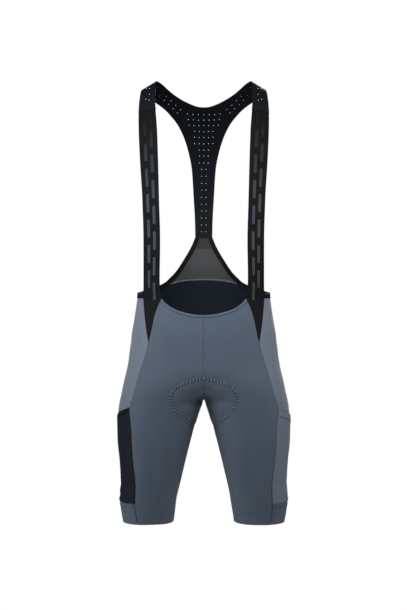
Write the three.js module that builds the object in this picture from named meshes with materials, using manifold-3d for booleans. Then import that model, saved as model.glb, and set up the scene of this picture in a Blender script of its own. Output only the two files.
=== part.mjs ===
// Cycling bib shorts, filled out as if worn: two legs, a waist with a low front, two shoulder straps,
// a perforated back yoke and a mesh insert. Every piece of cloth is a thin closed wall of its own.
// Millimetres, +Z up. The front faces -Y and the wearer's left side is +X.
// The origin lies midway between the shoulder crests, at the height where the straps rest on the shoulders.
import * as THREE from "three";
import Module from "manifold-3d";
import { mergeVertices } from "three/addons/utils/BufferGeometryUtils.js";

// Walls and gaps. A wall is measured inwards from the cloth's outer face.
const PANEL = 1.5; // knitted body cloth
const THIN = 1.2; // yoke, mesh and pocket cloth
const WEBBING = 1.6; // elastic straps and tapes
const GAP = 0.3; // between two pieces at a seam
const PAD_EDGE = 1.5;
const PAD_MIDDLE = 7;

// Heights.
const HEM = -913; // bottom of the legs
const CUFF_TOP = -872; // seam between side panel and side hem piece
const SIDE_WAIST = -446; // top of the side panels
const FRONT_LOW = -479.5; // lowest point of the front neckline
const FRONT_CORNER = -447; // where the neckline meets the straps
const NECKLINE_POWER = 2.4; // shape of the neckline's U
const V_TIP = -534; // lower end of the straps, between front and side panels
const STRAP_START = -526; // where the tapering strap is wide enough to be cloth
const YOKE_BOTTOM = -317.7;
const PAD_TOP_FRONT = -610;
const PAD_TOP_BACK = -578;
const PAD_BOTTOM = -714;

const RAYS = 220; // steps round one section
const FIELD_STEP = 0.5; // over which the way out of the figure is measured

// A smooth curve through a table's column, with no overshoot between its rows.
function curve(at, values) {
  const step = at.slice(1).map((a, i) => a - at[i]);
  const slope = step.map((h, i) => (values[i + 1] - values[i]) / h);
  const tangent = at.map((_, i) => {
    if (i === 0) return slope[0];
    if (i === at.length - 1) return slope[i - 1];
    const [before, after] = [slope[i - 1], slope[i]];
    return before * after <= 0 ? 0 : (2 * before * after) / (before + after);
  });
  return (x) => {
    if (x <= at[0]) return values[0];
    if (x >= at[at.length - 1]) return values[at.length - 1];
    let i = 0;
    while (x > at[i + 1]) i++;
    const h = step[i];
    const t = (x - at[i]) / h;
    return (
      values[i] * (1 + 2 * t) * (1 - t) ** 2 +
      tangent[i] * h * t * (1 - t) ** 2 +
      values[i + 1] * t * t * (3 - 2 * t) +
      tangent[i + 1] * h * t * t * (t - 1)
    );
  };
}

// Rows of numbers under named columns; the first column is where, and the others become curves over it.
function table(columns, rows) {
  const sorted = [...rows].sort((a, b) => a[0] - b[0]);
  const at = sorted.map((row) => row[0]);
  const made = {};
  columns.slice(1).forEach((name, k) => {
    made[name] = curve(at, sorted.map((row) => row[k + 1]));
  });
  return made;
}

// The general figure that fills the garment: one superellipse for each leg, which spreads into the trunk above.
// outer and inner are where a leg's section ends in x, front and back its depths, and blend rounds the cleft
// between the two legs. In the trunk both legs share one section, so inner is minus outer.
const FIGURE = table(
  ["z", "outer", "inner", "front", "back", "blend", "power"],
  [
    [20, 150, -150, 60, 34, 0, 2.3],
    [0, 150, -150, 70, 53, 0, 2.3],
    [-34, 150, -150, 84, 74, 0, 2.3],
    [-60, 150, -150, 95, 85, 0, 2.3],
    [-100, 151, -151, 104, 95, 0, 2.3],
    [-150, 150, -150, 109, 101, 0, 2.3],
    [-200, 147, -147, 110, 98, 0, 2.3],
    [-250, 142, -142, 108, 91, 0, 2.3],
    [-318, 136, -136, 104, 81, 0, 2.3],
    [-370, 135, -135, 100, 83, 0, 2.3],
    [-405, 136, -136, 98, 90, 0, 2.3],
    [-446, 139.5, -139.5, 98, 98, 0, 2.3],
    [-491, 146, -146, 102, 106, 0, 2.3],
    [-533, 152, -152, 104, 113, 0, 2.3],
    [-575, 158, -150, 104, 117, 4, 2.3],
    [-597, 162, -106, 103, 117.5, 18, 2.3],
    [-617, 166.5, -56, 101.5, 116, 28, 2.25],
    [-630, 169.5, -25, 100, 114, 28, 2.2],
    [-642, 172.5, -7, 98.5, 112, 22, 2.2],
    [-652, 174.8, 0.5, 97, 110, 16, 2.2],
    [-657, 175.7, 3, 96.3, 108.6, 12, 2.2],
    [-670, 177.8, 7, 95, 104.5, 10, 2.2],
    [-701, 180.5, 16, 92.5, 95, 10, 2.2],
    [-743, 179.6, 27.3, 89.5, 85, 10, 2.15],
    [-785, 175.5, 38, 84.5, 76, 10, 2.1],
    [-827, 173.2, 48, 77, 68, 10, 2.1],
    [-869, 176, 57.6, 69, 62, 10, 2.1],
    [-890, 173.5, 60, 65, 59, 10, 2.1],
    [-913, 169.5, 63, 61, 56, 10, 2.1],
  ],
);

// Where the seams run, as x over z.
const SEAMS = table(
  ["z", "front", "back"],
  [
    [-404, 99, 98],
    [-446, 100, 104],
    [-534, 113.6, 122],
    [-549, 115.5, 125],
    [-575, 124, 130],
    [-602, 133, 136],
    [-633, 141, 142],
    [-663, 148, 147],
    [-680, 150.7, 149.5],
    [-702, 151.2, 150.5],
    [-741, 149, 149],
    [-780, 146.3, 145],
    [-832, 140.5, 142],
    [-874, 142, 142],
    [-913, 136, 138],
  ],
);

// The V that each strap fills between the front and side panels.
const STRAP_V = table(
  ["z", "inner", "outer"],
  [
    [-446, 86, 123.7],
    [-484, 100.6, 120.6],
    [-515, 108.4, 117],
    [-534, 113.6, 113.6],
  ],
);

// The strap above the waist, by its two edges.
const STRAP = table(
  ["z", "innerX", "innerY", "outerX", "outerY"],
  [
    [-447, 86, -82, 123.5, -52],
    [-409, 88.7, -92, 123.4, -66],
    [-328, 88.8, -101, 123.2, -83],
    [-247, 90.8, -104, 125.2, -89],
    [-166, 92.9, -101, 129.4, -88],
    [-104, 95.2, -92, 131.7, -80],
    [-58, 99, -80, 131.6, -67],
  ],
);
const STRAP_TOP_INNER = -58.5;
const STRAP_TOP_OUTER = -70;

// The top edge of the back panel and of the side panel behind the side, as z over x.
const WAIST_EDGE = table(
  ["x", "z"],
  [
    [0, -404.7],
    [40, -407],
    [75, -415],
    [94, -426],
    [115, -435],
    [139.5, -446],
  ],
);

// The mesh insert's side edge and the tape's outer edge beside it, as x over z.
const MESH_EDGE = table(
  ["z", "x"],
  [
    [-318, 10],
    [-336, 18.3],
    [-366, 36],
    [-395, 55.7],
    [-416, 76],
  ],
);

// The yoke by stations from the centre of the back (0) over the shoulder to the front: the neck edge and the edge
// below it. It lies on the figure's back as far as station 9, and from station 12 its points are the table's own.
const YOKE = table(
  ["station", "neckX", "neckY", "neckZ", "lowX", "lowY", "lowZ"],
  [
    [0, 0, 74, -34.4, 0, 81, -317.7],
    [1, 6, 74, -34, 17.8, 81, -317.7],
    [2, 10, 74, -33, 19.3, 87, -276],
    [3, 14, 74, -32, 22.4, 95, -222],
    [4, 19, 73, -30, 26, 100, -167],
    [5, 25, 72, -27.5, 34.8, 98, -123],
    [6, 32, 71, -24.7, 46, 90, -91],
    [7, 40, 69, -21.5, 58, 83, -69],
    [8, 49, 66, -17, 70, 76, -53.5],
    [9, 58, 62, -12, 81, 67, -42],
    [10, 68, 55, -6, 92, 59, -33.5],
    [11, 77, 44, 0, 103, 50, -27],
    [12, 86, 28, 6, 113, 36, -20],
    [13, 94, 13, 9.8, 122, 18, -12.5],
    [14, 99, 0, 10.6, 129.8, 0, -8.7],
    [15, 100.5, -23, -3, 131, -20, -15.5],
    [16, 100.5, -45, -20, 131.6, -40, -30],
    [17, 100, -66, -39, 131.7, -57, -48],
    [18, 99, -80, -58, 131.6, -67, -69.5],
  ],
);
const YOKE_ON_BACK = 9;
const YOKE_OWN = 12;
const YOKE_END = 18;

// The pad's edge seen from the front and from behind, as x over z.
const PAD_EDGES = table(
  ["z", "front", "back"],
  [
    [-578, 20, 34],
    [-594, 20, 58],
    [-610, 24, 70],
    [-622, 48, 75],
    [-636, 62, 76],
    [-652, 67, 74],
    [-670, 61, 68],
    [-684, 50, 58],
    [-698, 35, 42],
    [-708, 25, 30],
    [-714, 21, 24],
  ],
);

// Signed distance, near enough, from one leg's section.
function legField(x, y, s) {
  const half = (s.outer - s.inner) / 2;
  const depth = y < 0 ? s.front : s.back;
  const across = Math.abs(x - (s.outer + s.inner) / 2) / half;
  const along = Math.abs(y) / depth;
  return ((across ** s.power + along ** s.power) ** (1 / s.power) - 1) * Math.min(half, depth);
}

// Both legs joined, with the cleft between them rounded.
function bodyField(x, y, s) {
  const [near, far] = [legField(x, y, s), legField(-x, y, s)];
  if (s.blend < 0.01) return Math.min(near, far);
  const shared = Math.max(s.blend - Math.abs(near - far), 0);
  return Math.min(near, far) - (shared * shared) / (4 * s.blend);
}

const memory = new Map();
function remember(name, z, make) {
  const key = name + z.toFixed(3);
  if (!memory.has(key)) memory.set(key, make());
  return memory.get(key);
}

function figureAt(z) {
  return remember("figure", z, () => {
    const made = {};
    for (const name of Object.keys(FIGURE)) made[name] = FIGURE[name](z);
    return made;
  });
}

// Where a straight way out of the figure crosses its surface, on the wearer's left half.
function crossing(s, x, y, dx, dy) {
  let [inside, outside] = [0, x > 0 && dx < 0 ? -x / dx : 420];
  for (let i = 0; i < 34; i++) {
    const middle = (inside + outside) / 2;
    if (bodyField(x + dx * middle, y + dy * middle, s) < 0) inside = middle;
    else outside = middle;
  }
  return [x + dx * inside, y + dy * inside];
}

// Half a section, from the centre front (or the inseam) round the outer side to the centre back (or the inseam).
function contour(z) {
  return remember("contour", z, () => {
    const s = figureAt(z);
    const middle = (s.outer + s.inner) / 2;
    const joined = bodyField(0, 0, s) < 0;
    let [from, to] = [-Math.PI, Math.PI];
    if (joined) {
      from = Math.atan2(crossing(s, 0, 0, 0, -1)[1], -middle);
      to = Math.atan2(crossing(s, 0, 0, 0, 1)[1], -middle);
    }
    const points = [];
    const arc = [];
    for (let i = 0; i <= RAYS; i++) {
      const turn = from + ((to - from) * i) / RAYS;
      const point = crossing(s, middle, 0, Math.cos(turn), Math.sin(turn));
      points.push(point);
      arc.push(i ? arc[i - 1] + Math.hypot(point[0] - points[i - 1][0], point[1] - points[i - 1][1]) : 0);
    }
    return { points, arc, length: arc[RAYS] };
  });
}

// The figure's point at an arc length from the start of the half section.
function atArc(z, where) {
  const { points, arc, length } = contour(z);
  const along = Math.min(Math.max(where, 0), length);
  let i = 0;
  while (i < RAYS - 1 && arc[i + 1] < along) i++;
  const t = (along - arc[i]) / (arc[i + 1] - arc[i]);
  const [a, b] = [points[i], points[i + 1]];
  return new THREE.Vector3(a[0] + (b[0] - a[0]) * t, a[1] + (b[1] - a[1]) * t, z);
}

// The direction straight out of the figure's surface.
function wayOut(p) {
  const e = FIELD_STEP;
  const f = (x, y, z) => bodyField(x, y, figureAt(z));
  return new THREE.Vector3(
    f(p.x + e, p.y, p.z) - f(p.x - e, p.y, p.z),
    f(p.x, p.y + e, p.z) - f(p.x, p.y - e, p.z),
    f(p.x, p.y, p.z + e) - f(p.x, p.y, p.z - e),
  ).normalize();
}

// The arc length at which the half section passes x, before its outermost point or, for the back, after it.
function arcAtX(z, x, behind = false) {
  const { points, arc, length } = contour(z);
  const order = behind ? [...points.keys()].reverse() : [...points.keys()];
  const k = order.findIndex((i) => points[i][0] >= x);
  if (k <= 0) return behind ? length : 0;
  const [i, j] = [order[k - 1], order[k]];
  const t = (x - points[i][0]) / (points[j][0] - points[i][0]);
  return arc[i] + (arc[j] - arc[i]) * t;
}

// The figure's back at x and z.
function onBack(x, z) {
  const s = figureAt(z);
  return new THREE.Vector3(x, crossing(s, x, 0, 0, 1)[1], z);
}

function mix(a, b, t) {
  return a + (b - a) * t;
}

// A closed wall from two grids of points. place(v, u, side) gives a point, side 0 outside and side 1 inside.
function wall(rows, columns, place) {
  const width = columns + 1;
  const count = (rows + 1) * width;
  const position = [];
  for (const side of [0, 1])
    for (let i = 0; i <= rows; i++)
      for (let j = 0; j <= columns; j++) position.push(...place(i / rows, j / columns, side).toArray());
  const index = [];
  const quad = (a, b, c, d) => index.push(a, b, c, a, c, d);
  const at = (side, i, j) => side * count + i * width + j;
  for (let i = 0; i < rows; i++)
    for (let j = 0; j < columns; j++) {
      quad(at(0, i, j), at(0, i + 1, j), at(0, i + 1, j + 1), at(0, i, j + 1));
      quad(at(1, i, j), at(1, i, j + 1), at(1, i + 1, j + 1), at(1, i + 1, j));
    }
  for (let j = 0; j < columns; j++) {
    quad(at(0, 0, j), at(0, 0, j + 1), at(1, 0, j + 1), at(1, 0, j));
    quad(at(0, rows, j + 1), at(0, rows, j), at(1, rows, j), at(1, rows, j + 1));
  }
  for (let i = 0; i < rows; i++) {
    quad(at(0, i + 1, 0), at(0, i, 0), at(1, i, 0), at(1, i + 1, 0));
    quad(at(0, i, columns), at(0, i + 1, columns), at(1, i + 1, columns), at(1, i, columns));
  }
  const made = new THREE.BufferGeometry();
  made.setAttribute("position", new THREE.Float32BufferAttribute(position, 3));
  made.setIndex(index);
  return volume(made) < 0 ? turned(made) : made;
}

function volume(geometry) {
  const p = geometry.getAttribute("position");
  const at = (i) => new THREE.Vector3().fromBufferAttribute(p, i);
  const { array } = geometry.index;
  let sum = 0;
  for (let k = 0; k < array.length; k += 3)
    sum += at(array[k]).dot(at(array[k + 1]).cross(at(array[k + 2])));
  return sum / 6;
}

// The same faces, looking the other way.
function turned(geometry) {
  const index = Array.from(geometry.index.array);
  for (let k = 0; k < index.length; k += 3) [index[k + 1], index[k + 2]] = [index[k + 2], index[k + 1]];
  geometry.setIndex(index);
  return geometry;
}

function mirrored(geometry) {
  return turned(geometry.clone().scale(-1, 1, 1));
}

// The figure's point moved out by a distance, or in where it is negative, but never past the middle of the body.
function bodyPoint(z, arc, out) {
  const point = atArc(z, arc);
  const moved = point.clone().addScaledVector(wayOut(point), out);
  moved.x = Math.max(moved.x, GAP / 2);
  return moved;
}

// The height at which the two legs part.
function crotchHeight() {
  let [parted, joined] = [-700, -600];
  for (let i = 0; i < 40; i++) {
    const z = (parted + joined) / 2;
    if (bodyField(0, 0, figureAt(z)) < 0) joined = z;
    else parted = z;
  }
  return parted;
}
const CROTCH = crotchHeight();

// The rows of a body panel: evenly spaced from its top edge to where the strap's V ends, then at heights that crowd
// together round the crotch.
const TOP_ROWS = 4;
const PAD_LEVELS = [PAD_TOP_BACK, -594, PAD_TOP_FRONT, -622, -633];
PAD_LEVELS.push(...[14, 8, 3.5, 1, 0, -4, -11, -23, -39].map((up) => CROTCH + up), PAD_BOTTOM);
const LEVELS = [V_TIP, -556, ...PAD_LEVELS];
const LEG_ROWS = 7; // from the pad's lower end to the cuffs
for (let k = 1; k <= LEG_ROWS; k++) LEVELS.push(mix(PAD_BOTTOM, CUFF_TOP, k / LEG_ROWS));
const PANEL_ROWS = TOP_ROWS + LEVELS.length - 1;

function rowHeight(v, top, bottomRows = 0) {
  const row = v * (PANEL_ROWS + bottomRows);
  if (row < TOP_ROWS) return mix(top, V_TIP, row / TOP_ROWS);
  const level = Math.round(row - TOP_ROWS);
  if (level < LEVELS.length) return LEVELS[level];
  return mix(CUFF_TOP, HEM, (level - LEVELS.length + 1) / bottomRows);
}

// Front panel: from the centre front and inseam to the strap's V and the side seam. Its columns stand closer
// together towards the inseam, where the cloth is most curved.
const HEM_ROWS = 2;
const COLUMNS = 12;
function crowded(u) {
  return 0.5 * u + 0.5 * u * u;
}

function frontSeam(z) {
  return z > V_TIP ? STRAP_V.inner(z) : SEAMS.front(z);
}

function frontArc(z, u) {
  return mix(GAP / 2, arcAtX(z, frontSeam(z)) - GAP / 2, crowded(u));
}

const front = wall(PANEL_ROWS + HEM_ROWS, COLUMNS, (v, u, face) => {
  const top = mix(FRONT_LOW, FRONT_CORNER, crowded(u) ** NECKLINE_POWER);
  const z = rowHeight(v, top, HEM_ROWS);
  return bodyPoint(z, frontArc(z, u), -face * PANEL);
});

// The height of the waist edge: it rises towards the centre back, and is level in front of the sides.
function waistTop(point) {
  return point.y < 0 ? SIDE_WAIST : WAIST_EDGE.z(point.x);
}

// The height at which a panel's column meets the waist edge, found by a few steps towards it.
const SETTLING = 12;
function settledTop(arcAt, u) {
  let z = SIDE_WAIST;
  for (let k = 0; k < SETTLING; k++) z = mix(z, waistTop(atArc(z, arcAt(z, u))), 0.7);
  return z;
}

// Side panel: from the strap's V and the front seam round the hip to the back seam.
function sideFrontSeam(z) {
  return z > V_TIP ? STRAP_V.outer(z) : SEAMS.front(z);
}

function sideArc(z, u) {
  return mix(arcAtX(z, sideFrontSeam(z)) + GAP / 2, arcAtX(z, SEAMS.back(z), true) - GAP / 2, u);
}

const SIDE_COLUMNS = 8;
const side = wall(PANEL_ROWS, SIDE_COLUMNS, (v, u, face) => {
  const z = rowHeight(v, settledTop(sideArc, u)) + (v === 1 ? GAP / 2 : 0);
  return bodyPoint(z, sideArc(z, u), -face * PANEL);
});

// Side hem piece, below the side panel and the pocket.
const cuff = wall(HEM_ROWS, SIDE_COLUMNS, (v, u, face) => {
  const z = mix(CUFF_TOP - GAP / 2, HEM, v);
  return bodyPoint(z, sideArc(z, u), -face * PANEL);
});

// Back panel: from the centre back and the inseam to the back seam.
function backArc(z, u) {
  return mix(contour(z).length - GAP / 2, arcAtX(z, SEAMS.back(z), true) + GAP / 2, crowded(u));
}

const back = wall(PANEL_ROWS + HEM_ROWS, COLUMNS, (v, u, face) => {
  const z = rowHeight(v, settledTop(backArc, u), HEM_ROWS);
  return bodyPoint(z, backArc(z, u), -face * PANEL);
});

// Pocket: a second layer on the side panel, with a mouth that slopes down towards the back and a band along it.
const POCKET_TOP_FRONT = -671;
const POCKET_TOP_BACK = -706;
const BAND = 10.5; // height of the mouth's band
const POCKET_ROWS = 9;

function pocketMouth(u) {
  return mix(POCKET_TOP_FRONT, POCKET_TOP_BACK, u);
}

const pocket = wall(POCKET_ROWS, SIDE_COLUMNS, (v, u, face) => {
  const z = mix(pocketMouth(u) - BAND - GAP, CUFF_TOP + GAP, v);
  return bodyPoint(z, sideArc(z, u), GAP + (face ? 0 : THIN));
});

const pocketBand = wall(1, SIDE_COLUMNS, (v, u, face) => {
  const z = pocketMouth(u) - BAND * v;
  return bodyPoint(z, sideArc(z, u), GAP + (face ? 0 : WEBBING));
});

// A free sheet of cloth: its outer points, and its inner points a wall below them along the sheet's own normal.
const SHEET_STEP = 0.02; // part of the sheet over which its normal is measured
function freeSheet(rows, columns, thickness, inwards, place) {
  const step = SHEET_STEP;
  return wall(rows, columns, (v, u, face) => {
    const point = place(v, u);
    if (!face) return point;
    const alongV = place(Math.min(v + step, 1), u).sub(place(Math.max(v - step, 0), u));
    const alongU = place(v, Math.min(u + step, 1)).sub(place(v, Math.max(u - step, 0)));
    const normal = alongU.cross(alongV).normalize();
    if (normal.dot(inwards(point)) < 0) normal.negate();
    return point.addScaledVector(normal, thickness);
  });
}

// Strap: its lower end fills the V in the body cloth, and above the waist it runs free to the shoulder.
const STRAP_V_ROWS = 5;
const STRAP_ROWS = 22;
const STRAP_COLUMNS = 4;
const STRAP_BOW = 2.5; // how far the strap's middle stands before its edges at the waist
const BOW_LOSS = 0.6; // the part of the bow that is gone at the shoulder

function strapPoint(v, u) {
  const row = v * STRAP_ROWS;
  if (row <= STRAP_V_ROWS) {
    const z = mix(STRAP_START, FRONT_CORNER, row / STRAP_V_ROWS);
    const [from, to] = [arcAtX(z, STRAP_V.inner(z)) + GAP / 2, arcAtX(z, STRAP_V.outer(z)) - GAP / 2];
    return atArc(z, mix(from, to, u));
  }
  const t = (row - STRAP_V_ROWS) / (STRAP_ROWS - STRAP_V_ROWS);
  const [innerZ, outerZ] = [mix(FRONT_CORNER, STRAP_TOP_INNER, t), mix(FRONT_CORNER, STRAP_TOP_OUTER, t)];
  const bow = -STRAP_BOW * 4 * u * (1 - u) * (1 - BOW_LOSS * t);
  return new THREE.Vector3(
    mix(STRAP.innerX(innerZ), STRAP.outerX(outerZ), u),
    mix(STRAP.innerY(innerZ), STRAP.outerY(outerZ), u) + bow,
    mix(innerZ, outerZ, u),
  );
}
const strap = freeSheet(STRAP_ROWS, STRAP_COLUMNS, WEBBING, () => new THREE.Vector3(0, 1, 0), strapPoint);

// Yoke: columns run from the neck edge to the edge below, all the way from one front flap to the other.
function yokePoint(v, u) {
  const turn = (u * 2 - 1) * YOKE_END;
  const station = Math.abs(turn);
  const point = new THREE.Vector3(
    mix(YOKE.neckX(station), YOKE.lowX(station), v),
    mix(YOKE.neckY(station), YOKE.lowY(station), v),
    mix(YOKE.neckZ(station), YOKE.lowZ(station), v),
  );
  const own = Math.min(Math.max((station - YOKE_ON_BACK) / (YOKE_OWN - YOKE_ON_BACK), 0), 1);
  if (own < 1) point.y = mix(onBack(point.x, point.z).y, point.y, own);
  if (turn < 0) point.x *= -1;
  return point;
}
const YOKE_ROWS = 9;
const CHEST = new THREE.Vector3(0, 0, -120); // the yoke's inner face looks towards it
const yoke = freeSheet(YOKE_ROWS, 2 * YOKE_END, THIN, (point) => CHEST.clone().sub(point), yokePoint);

// Mesh insert between the back panels, the two tapes and the yoke.
const MESH_ROWS = 7;
const MESH_COLUMNS = 8;
const meshInsert = wall(MESH_ROWS, MESH_COLUMNS, (v, u, face) => {
  const across = u * 2 - 1;
  let point = new THREE.Vector3(0, 0, WAIST_EDGE.z(0));
  for (let k = 0; k < SETTLING; k++) {
    const low = WAIST_EDGE.z(Math.abs(point.x)) + GAP;
    const z = mix(low, YOKE_BOTTOM - GAP, v);
    point = onBack(across * (MESH_EDGE.x(z) - GAP), z);
  }
  return point.addScaledVector(wayOut(point), -face * THIN);
});

// Tape: it binds the mesh insert's edge from the yoke down, then the waist edge round the side to the strap.
// On the mesh's edge a station gives x and z of the tape's two edges. Round the side a station is a turn in
// degrees, positive behind the outermost point and negative before it.
const TAPE_ON_MESH = table(
  ["station", "outerX", "outerZ", "innerX", "innerZ"],
  [
    [0, 18.6, -318, 10.4, -318],
    [1, 26, -332, 18.7, -336],
    [2, 43, -362, 36.4, -366],
    [3, 61.5, -389.5, 56.1, -395],
    [4, 78.5, -407, 75, -414.6],
  ],
);
const TAPE_CORNER = 4; // the station where the mesh's edge meets the waist edge
const TAPE_TURNS = [47, 37, 27, 18, 10, 3, -4, -13, -21.5];
const TAPE_LAST = TAPE_CORNER + TAPE_TURNS.length - 1;
const TAPE_BACK_WIDTH = 8.5;
const TAPE_SIDE_WIDTH = 13;

function atTurn(z, turn) {
  const angle = THREE.MathUtils.degToRad(turn);
  const [x, y] = crossing(figureAt(z), 0, 0, Math.cos(angle), Math.sin(angle));
  return new THREE.Vector3(x, y, z);
}

function tapePoint(v, u) {
  const station = v * TAPE_LAST;
  if (station <= TAPE_CORNER) {
    const x = mix(TAPE_ON_MESH.innerX(station), TAPE_ON_MESH.outerX(station), u);
    return onBack(x, mix(TAPE_ON_MESH.innerZ(station), TAPE_ON_MESH.outerZ(station), u));
  }
  const turn = TAPE_TURNS[Math.round(station) - TAPE_CORNER];
  const width = mix(TAPE_SIDE_WIDTH, TAPE_BACK_WIDTH, Math.max(turn, 0) / TAPE_TURNS[0]);
  let point = atTurn(SIDE_WAIST, turn);
  for (let k = 0; k < SETTLING; k++) point = atTurn(waistTop(point) + 2 * GAP, turn);
  return atTurn(point.z + width * u, turn);
}

const tape = wall(TAPE_LAST, 2, (v, u, face) => {
  const point = tapePoint(v, u);
  return point.addScaledVector(wayOut(point), -face * WEBBING);
});

const wasm = await Module();
wasm.setup();

function solidOf(geometry) {
  const bare = geometry.clone();
  for (const name of Object.keys(bare.attributes)) if (name !== "position") bare.deleteAttribute(name);
  const merged = mergeVertices(bare, 1e-4);
  return new wasm.Manifold(
    new wasm.Mesh({
      numProp: 3,
      vertProperties: Float32Array.from(merged.attributes.position.array),
      triVerts: Uint32Array.from(merged.index.array),
    }),
  );
}

function geometryOf(solid) {
  const { vertProperties, triVerts } = solid.getMesh();
  return new THREE.BufferGeometry()
    .setAttribute("position", new THREE.BufferAttribute(vertProperties, 3))
    .setIndex(new THREE.BufferAttribute(triVerts, 1));
}

// One outer skin round all the given solids.
function joined(solids) {
  const whole = solids.reduce((sum, next) => sum.add(next));
  return geometryOf(whole.decompose().sort((a, b) => b.volume() - a.volume())[0]);
}

// Seat pad: four patches inside the panels, front and back of each leg. Each lies against the panel's own facets,
// is cut to the pad's outline, and laps the next one at the seams, where they are joined.
const LAP = 0.6;
const PAD_COLUMNS = 9; // of the panels' columns, as many as its width covers
const PAD_SLOPE = 26; // how far in from its edge the pad is full
const CROTCH_ROOM = 0.9; // further in from the panels where the four seams meet
const CROTCH_REACH = 5; // how far up and down from there that fades
const PAST_MIDDLE = 5; // how far the outline's cutter runs over the body's middle
const CUTTER_DEPTH = 160;

function padPatch(behind) {
  const levels = behind ? PAD_LEVELS : PAD_LEVELS.slice(PAD_LEVELS.indexOf(PAD_TOP_FRONT));
  const [edge, arcOf] = behind ? [PAD_EDGES.back, backArc] : [PAD_EDGES.front, frontArc];
  const rows = levels.length - 1;
  const patch = wall(rows, PAD_COLUMNS, (v, u, face) => {
    const z = levels[Math.round(v * rows)];
    const arc = arcOf(z, (u * PAD_COLUMNS) / COLUMNS);
    const inwards = Math.min(edge(z) - atArc(z, arc).x, levels[0] - z, z - PAD_BOTTOM) / PAD_SLOPE;
    const crown = Math.sin((Math.PI / 2) * Math.min(Math.max(inwards, 0), 1));
    const room = GAP + CROTCH_ROOM * Math.exp(-(((z - CROTCH) / CROTCH_REACH) ** 2));
    const point = bodyPoint(z, arc, -PANEL - room - face * mix(PAD_EDGE, PAD_MIDDLE, crown));
    if (u === 0 && z >= CROTCH) point.x = -LAP;
    if (u === 0 && z <= CROTCH) point.y += behind ? -LAP : LAP;
    return point;
  });
  const outline = levels.map((z) => new THREE.Vector2(edge(z), z));
  const [top, bottom] = [levels[0], PAD_BOTTOM].map((z) => new THREE.Vector2(-PAST_MIDDLE, z));
  const shape = new THREE.Shape([bottom, ...outline.reverse(), top]);
  const cutter = new THREE.ExtrudeGeometry(shape, { depth: CUTTER_DEPTH, bevelEnabled: false });
  cutter.rotateX(Math.PI / 2).translate(0, behind ? CUTTER_DEPTH - LAP * 2 : LAP * 2, 0);
  return solidOf(patch).intersect(solidOf(cutter));
}

const padPatches = [padPatch(false), padPatch(true)];
const pad = joined([...padPatches, ...padPatches.map((patch) => patch.mirror([1, 0, 0]))]);

// Cloths.
const cloth = (color, roughness) => new THREE.MeshStandardMaterial({ color, roughness, metalness: 0 });
const bodyKnit = cloth(0x5d6878, 0.75);
const blackMesh = cloth(0x23272c, 0.85);
const elastic = cloth(0x232423, 0.8);
const yokeKnit = cloth(0x171b20, 0.75);
const greyMesh = cloth(0x47494b, 0.85);
const padFoam = cloth(0x22262c, 0.9);

const shorts = new THREE.Group();
function add(name, geometry, material) {
  const piece = new THREE.Mesh(geometry, material);
  piece.name = name;
  shorts.add(piece);
}
function addPair(name, geometry, material, otherMaterial = material) {
  add(name + "_left", geometry, material);
  add(name + "_right", mirrored(geometry), otherMaterial);
}

addPair("front", front, bodyKnit);
addPair("side", side, bodyKnit);
addPair("cuff", cuff, bodyKnit);
addPair("back", back, bodyKnit);
addPair("pocket", pocket, bodyKnit, blackMesh);
addPair("pocket_band", pocketBand, bodyKnit, elastic);
addPair("strap", strap, elastic);
addPair("tape", tape, elastic);
add("yoke", yoke, yokeKnit);
add("mesh_insert", meshInsert, greyMesh);
add("seat_pad", pad, padFoam);

export default shorts;
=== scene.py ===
# %% [markdown]
# # Cycling bib shorts
# Real bib shorts are cut from stretch knit: two front panels, two back panels and a side panel on each
# hip, held up by elastic straps that join a perforated yoke behind the neck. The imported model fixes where
# every piece lies. Here each plain wall is replaced by a fine shell of cloth with its seams, stitches,
# holes and finish.

import bmesh
import bpy
import numpy as np
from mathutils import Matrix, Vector


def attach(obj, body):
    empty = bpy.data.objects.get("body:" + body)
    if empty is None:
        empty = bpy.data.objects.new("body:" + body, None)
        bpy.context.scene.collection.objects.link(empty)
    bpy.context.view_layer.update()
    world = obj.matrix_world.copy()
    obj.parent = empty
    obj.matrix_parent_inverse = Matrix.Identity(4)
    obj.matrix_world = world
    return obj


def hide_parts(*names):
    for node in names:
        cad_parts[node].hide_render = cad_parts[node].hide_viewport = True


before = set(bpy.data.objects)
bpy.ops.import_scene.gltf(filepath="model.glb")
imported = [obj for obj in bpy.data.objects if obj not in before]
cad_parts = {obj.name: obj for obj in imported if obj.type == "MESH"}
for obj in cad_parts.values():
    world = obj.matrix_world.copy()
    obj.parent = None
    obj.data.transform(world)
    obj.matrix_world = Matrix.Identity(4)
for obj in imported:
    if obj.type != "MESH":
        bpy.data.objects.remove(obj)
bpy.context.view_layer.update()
bpy.ops.object.select_all(action="DESELECT")
MM = 0.001
BODY = "root"

# %% [markdown]
# ## Camera
# The photo was taken from straight in front, from almost three metres away, at the height of the waist. A
# long lens keeps the hems nearly level. The camera comes first, so that every later piece can be judged
# through it.

# %% Camera
CAMERA_AWAY, CAMERA_HEIGHT, CAMERA_ASIDE = 2.9, -0.46, -0.0006
LENS, SENSOR = 81.5, 36
camera_place = (CAMERA_ASIDE, -CAMERA_AWAY, CAMERA_HEIGHT)
bpy.ops.object.camera_add(location=camera_place, rotation=(np.pi / 2, 0, 0))
camera = bpy.context.object
camera.data.lens = LENS
camera.data.sensor_width = SENSOR
bpy.context.scene.camera = camera
print("lens:", LENS, "mm, seen from", CAMERA_AWAY, "m away")

# %% [markdown]
# ## The figure inside the cloth
# Stretch knit follows what it is pulled over, so one smooth figure gives the shape of every panel.
# Modelling it by hand would leave each panel a little different at the seams. A table of sections is
# exact and repeats: each row says where one leg's section ends and how deep it is, and a smooth curve
# joins the rows.


# %% Smooth curves through a table
def mix(a, b, t):
    return a + (b - a) * t


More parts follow.
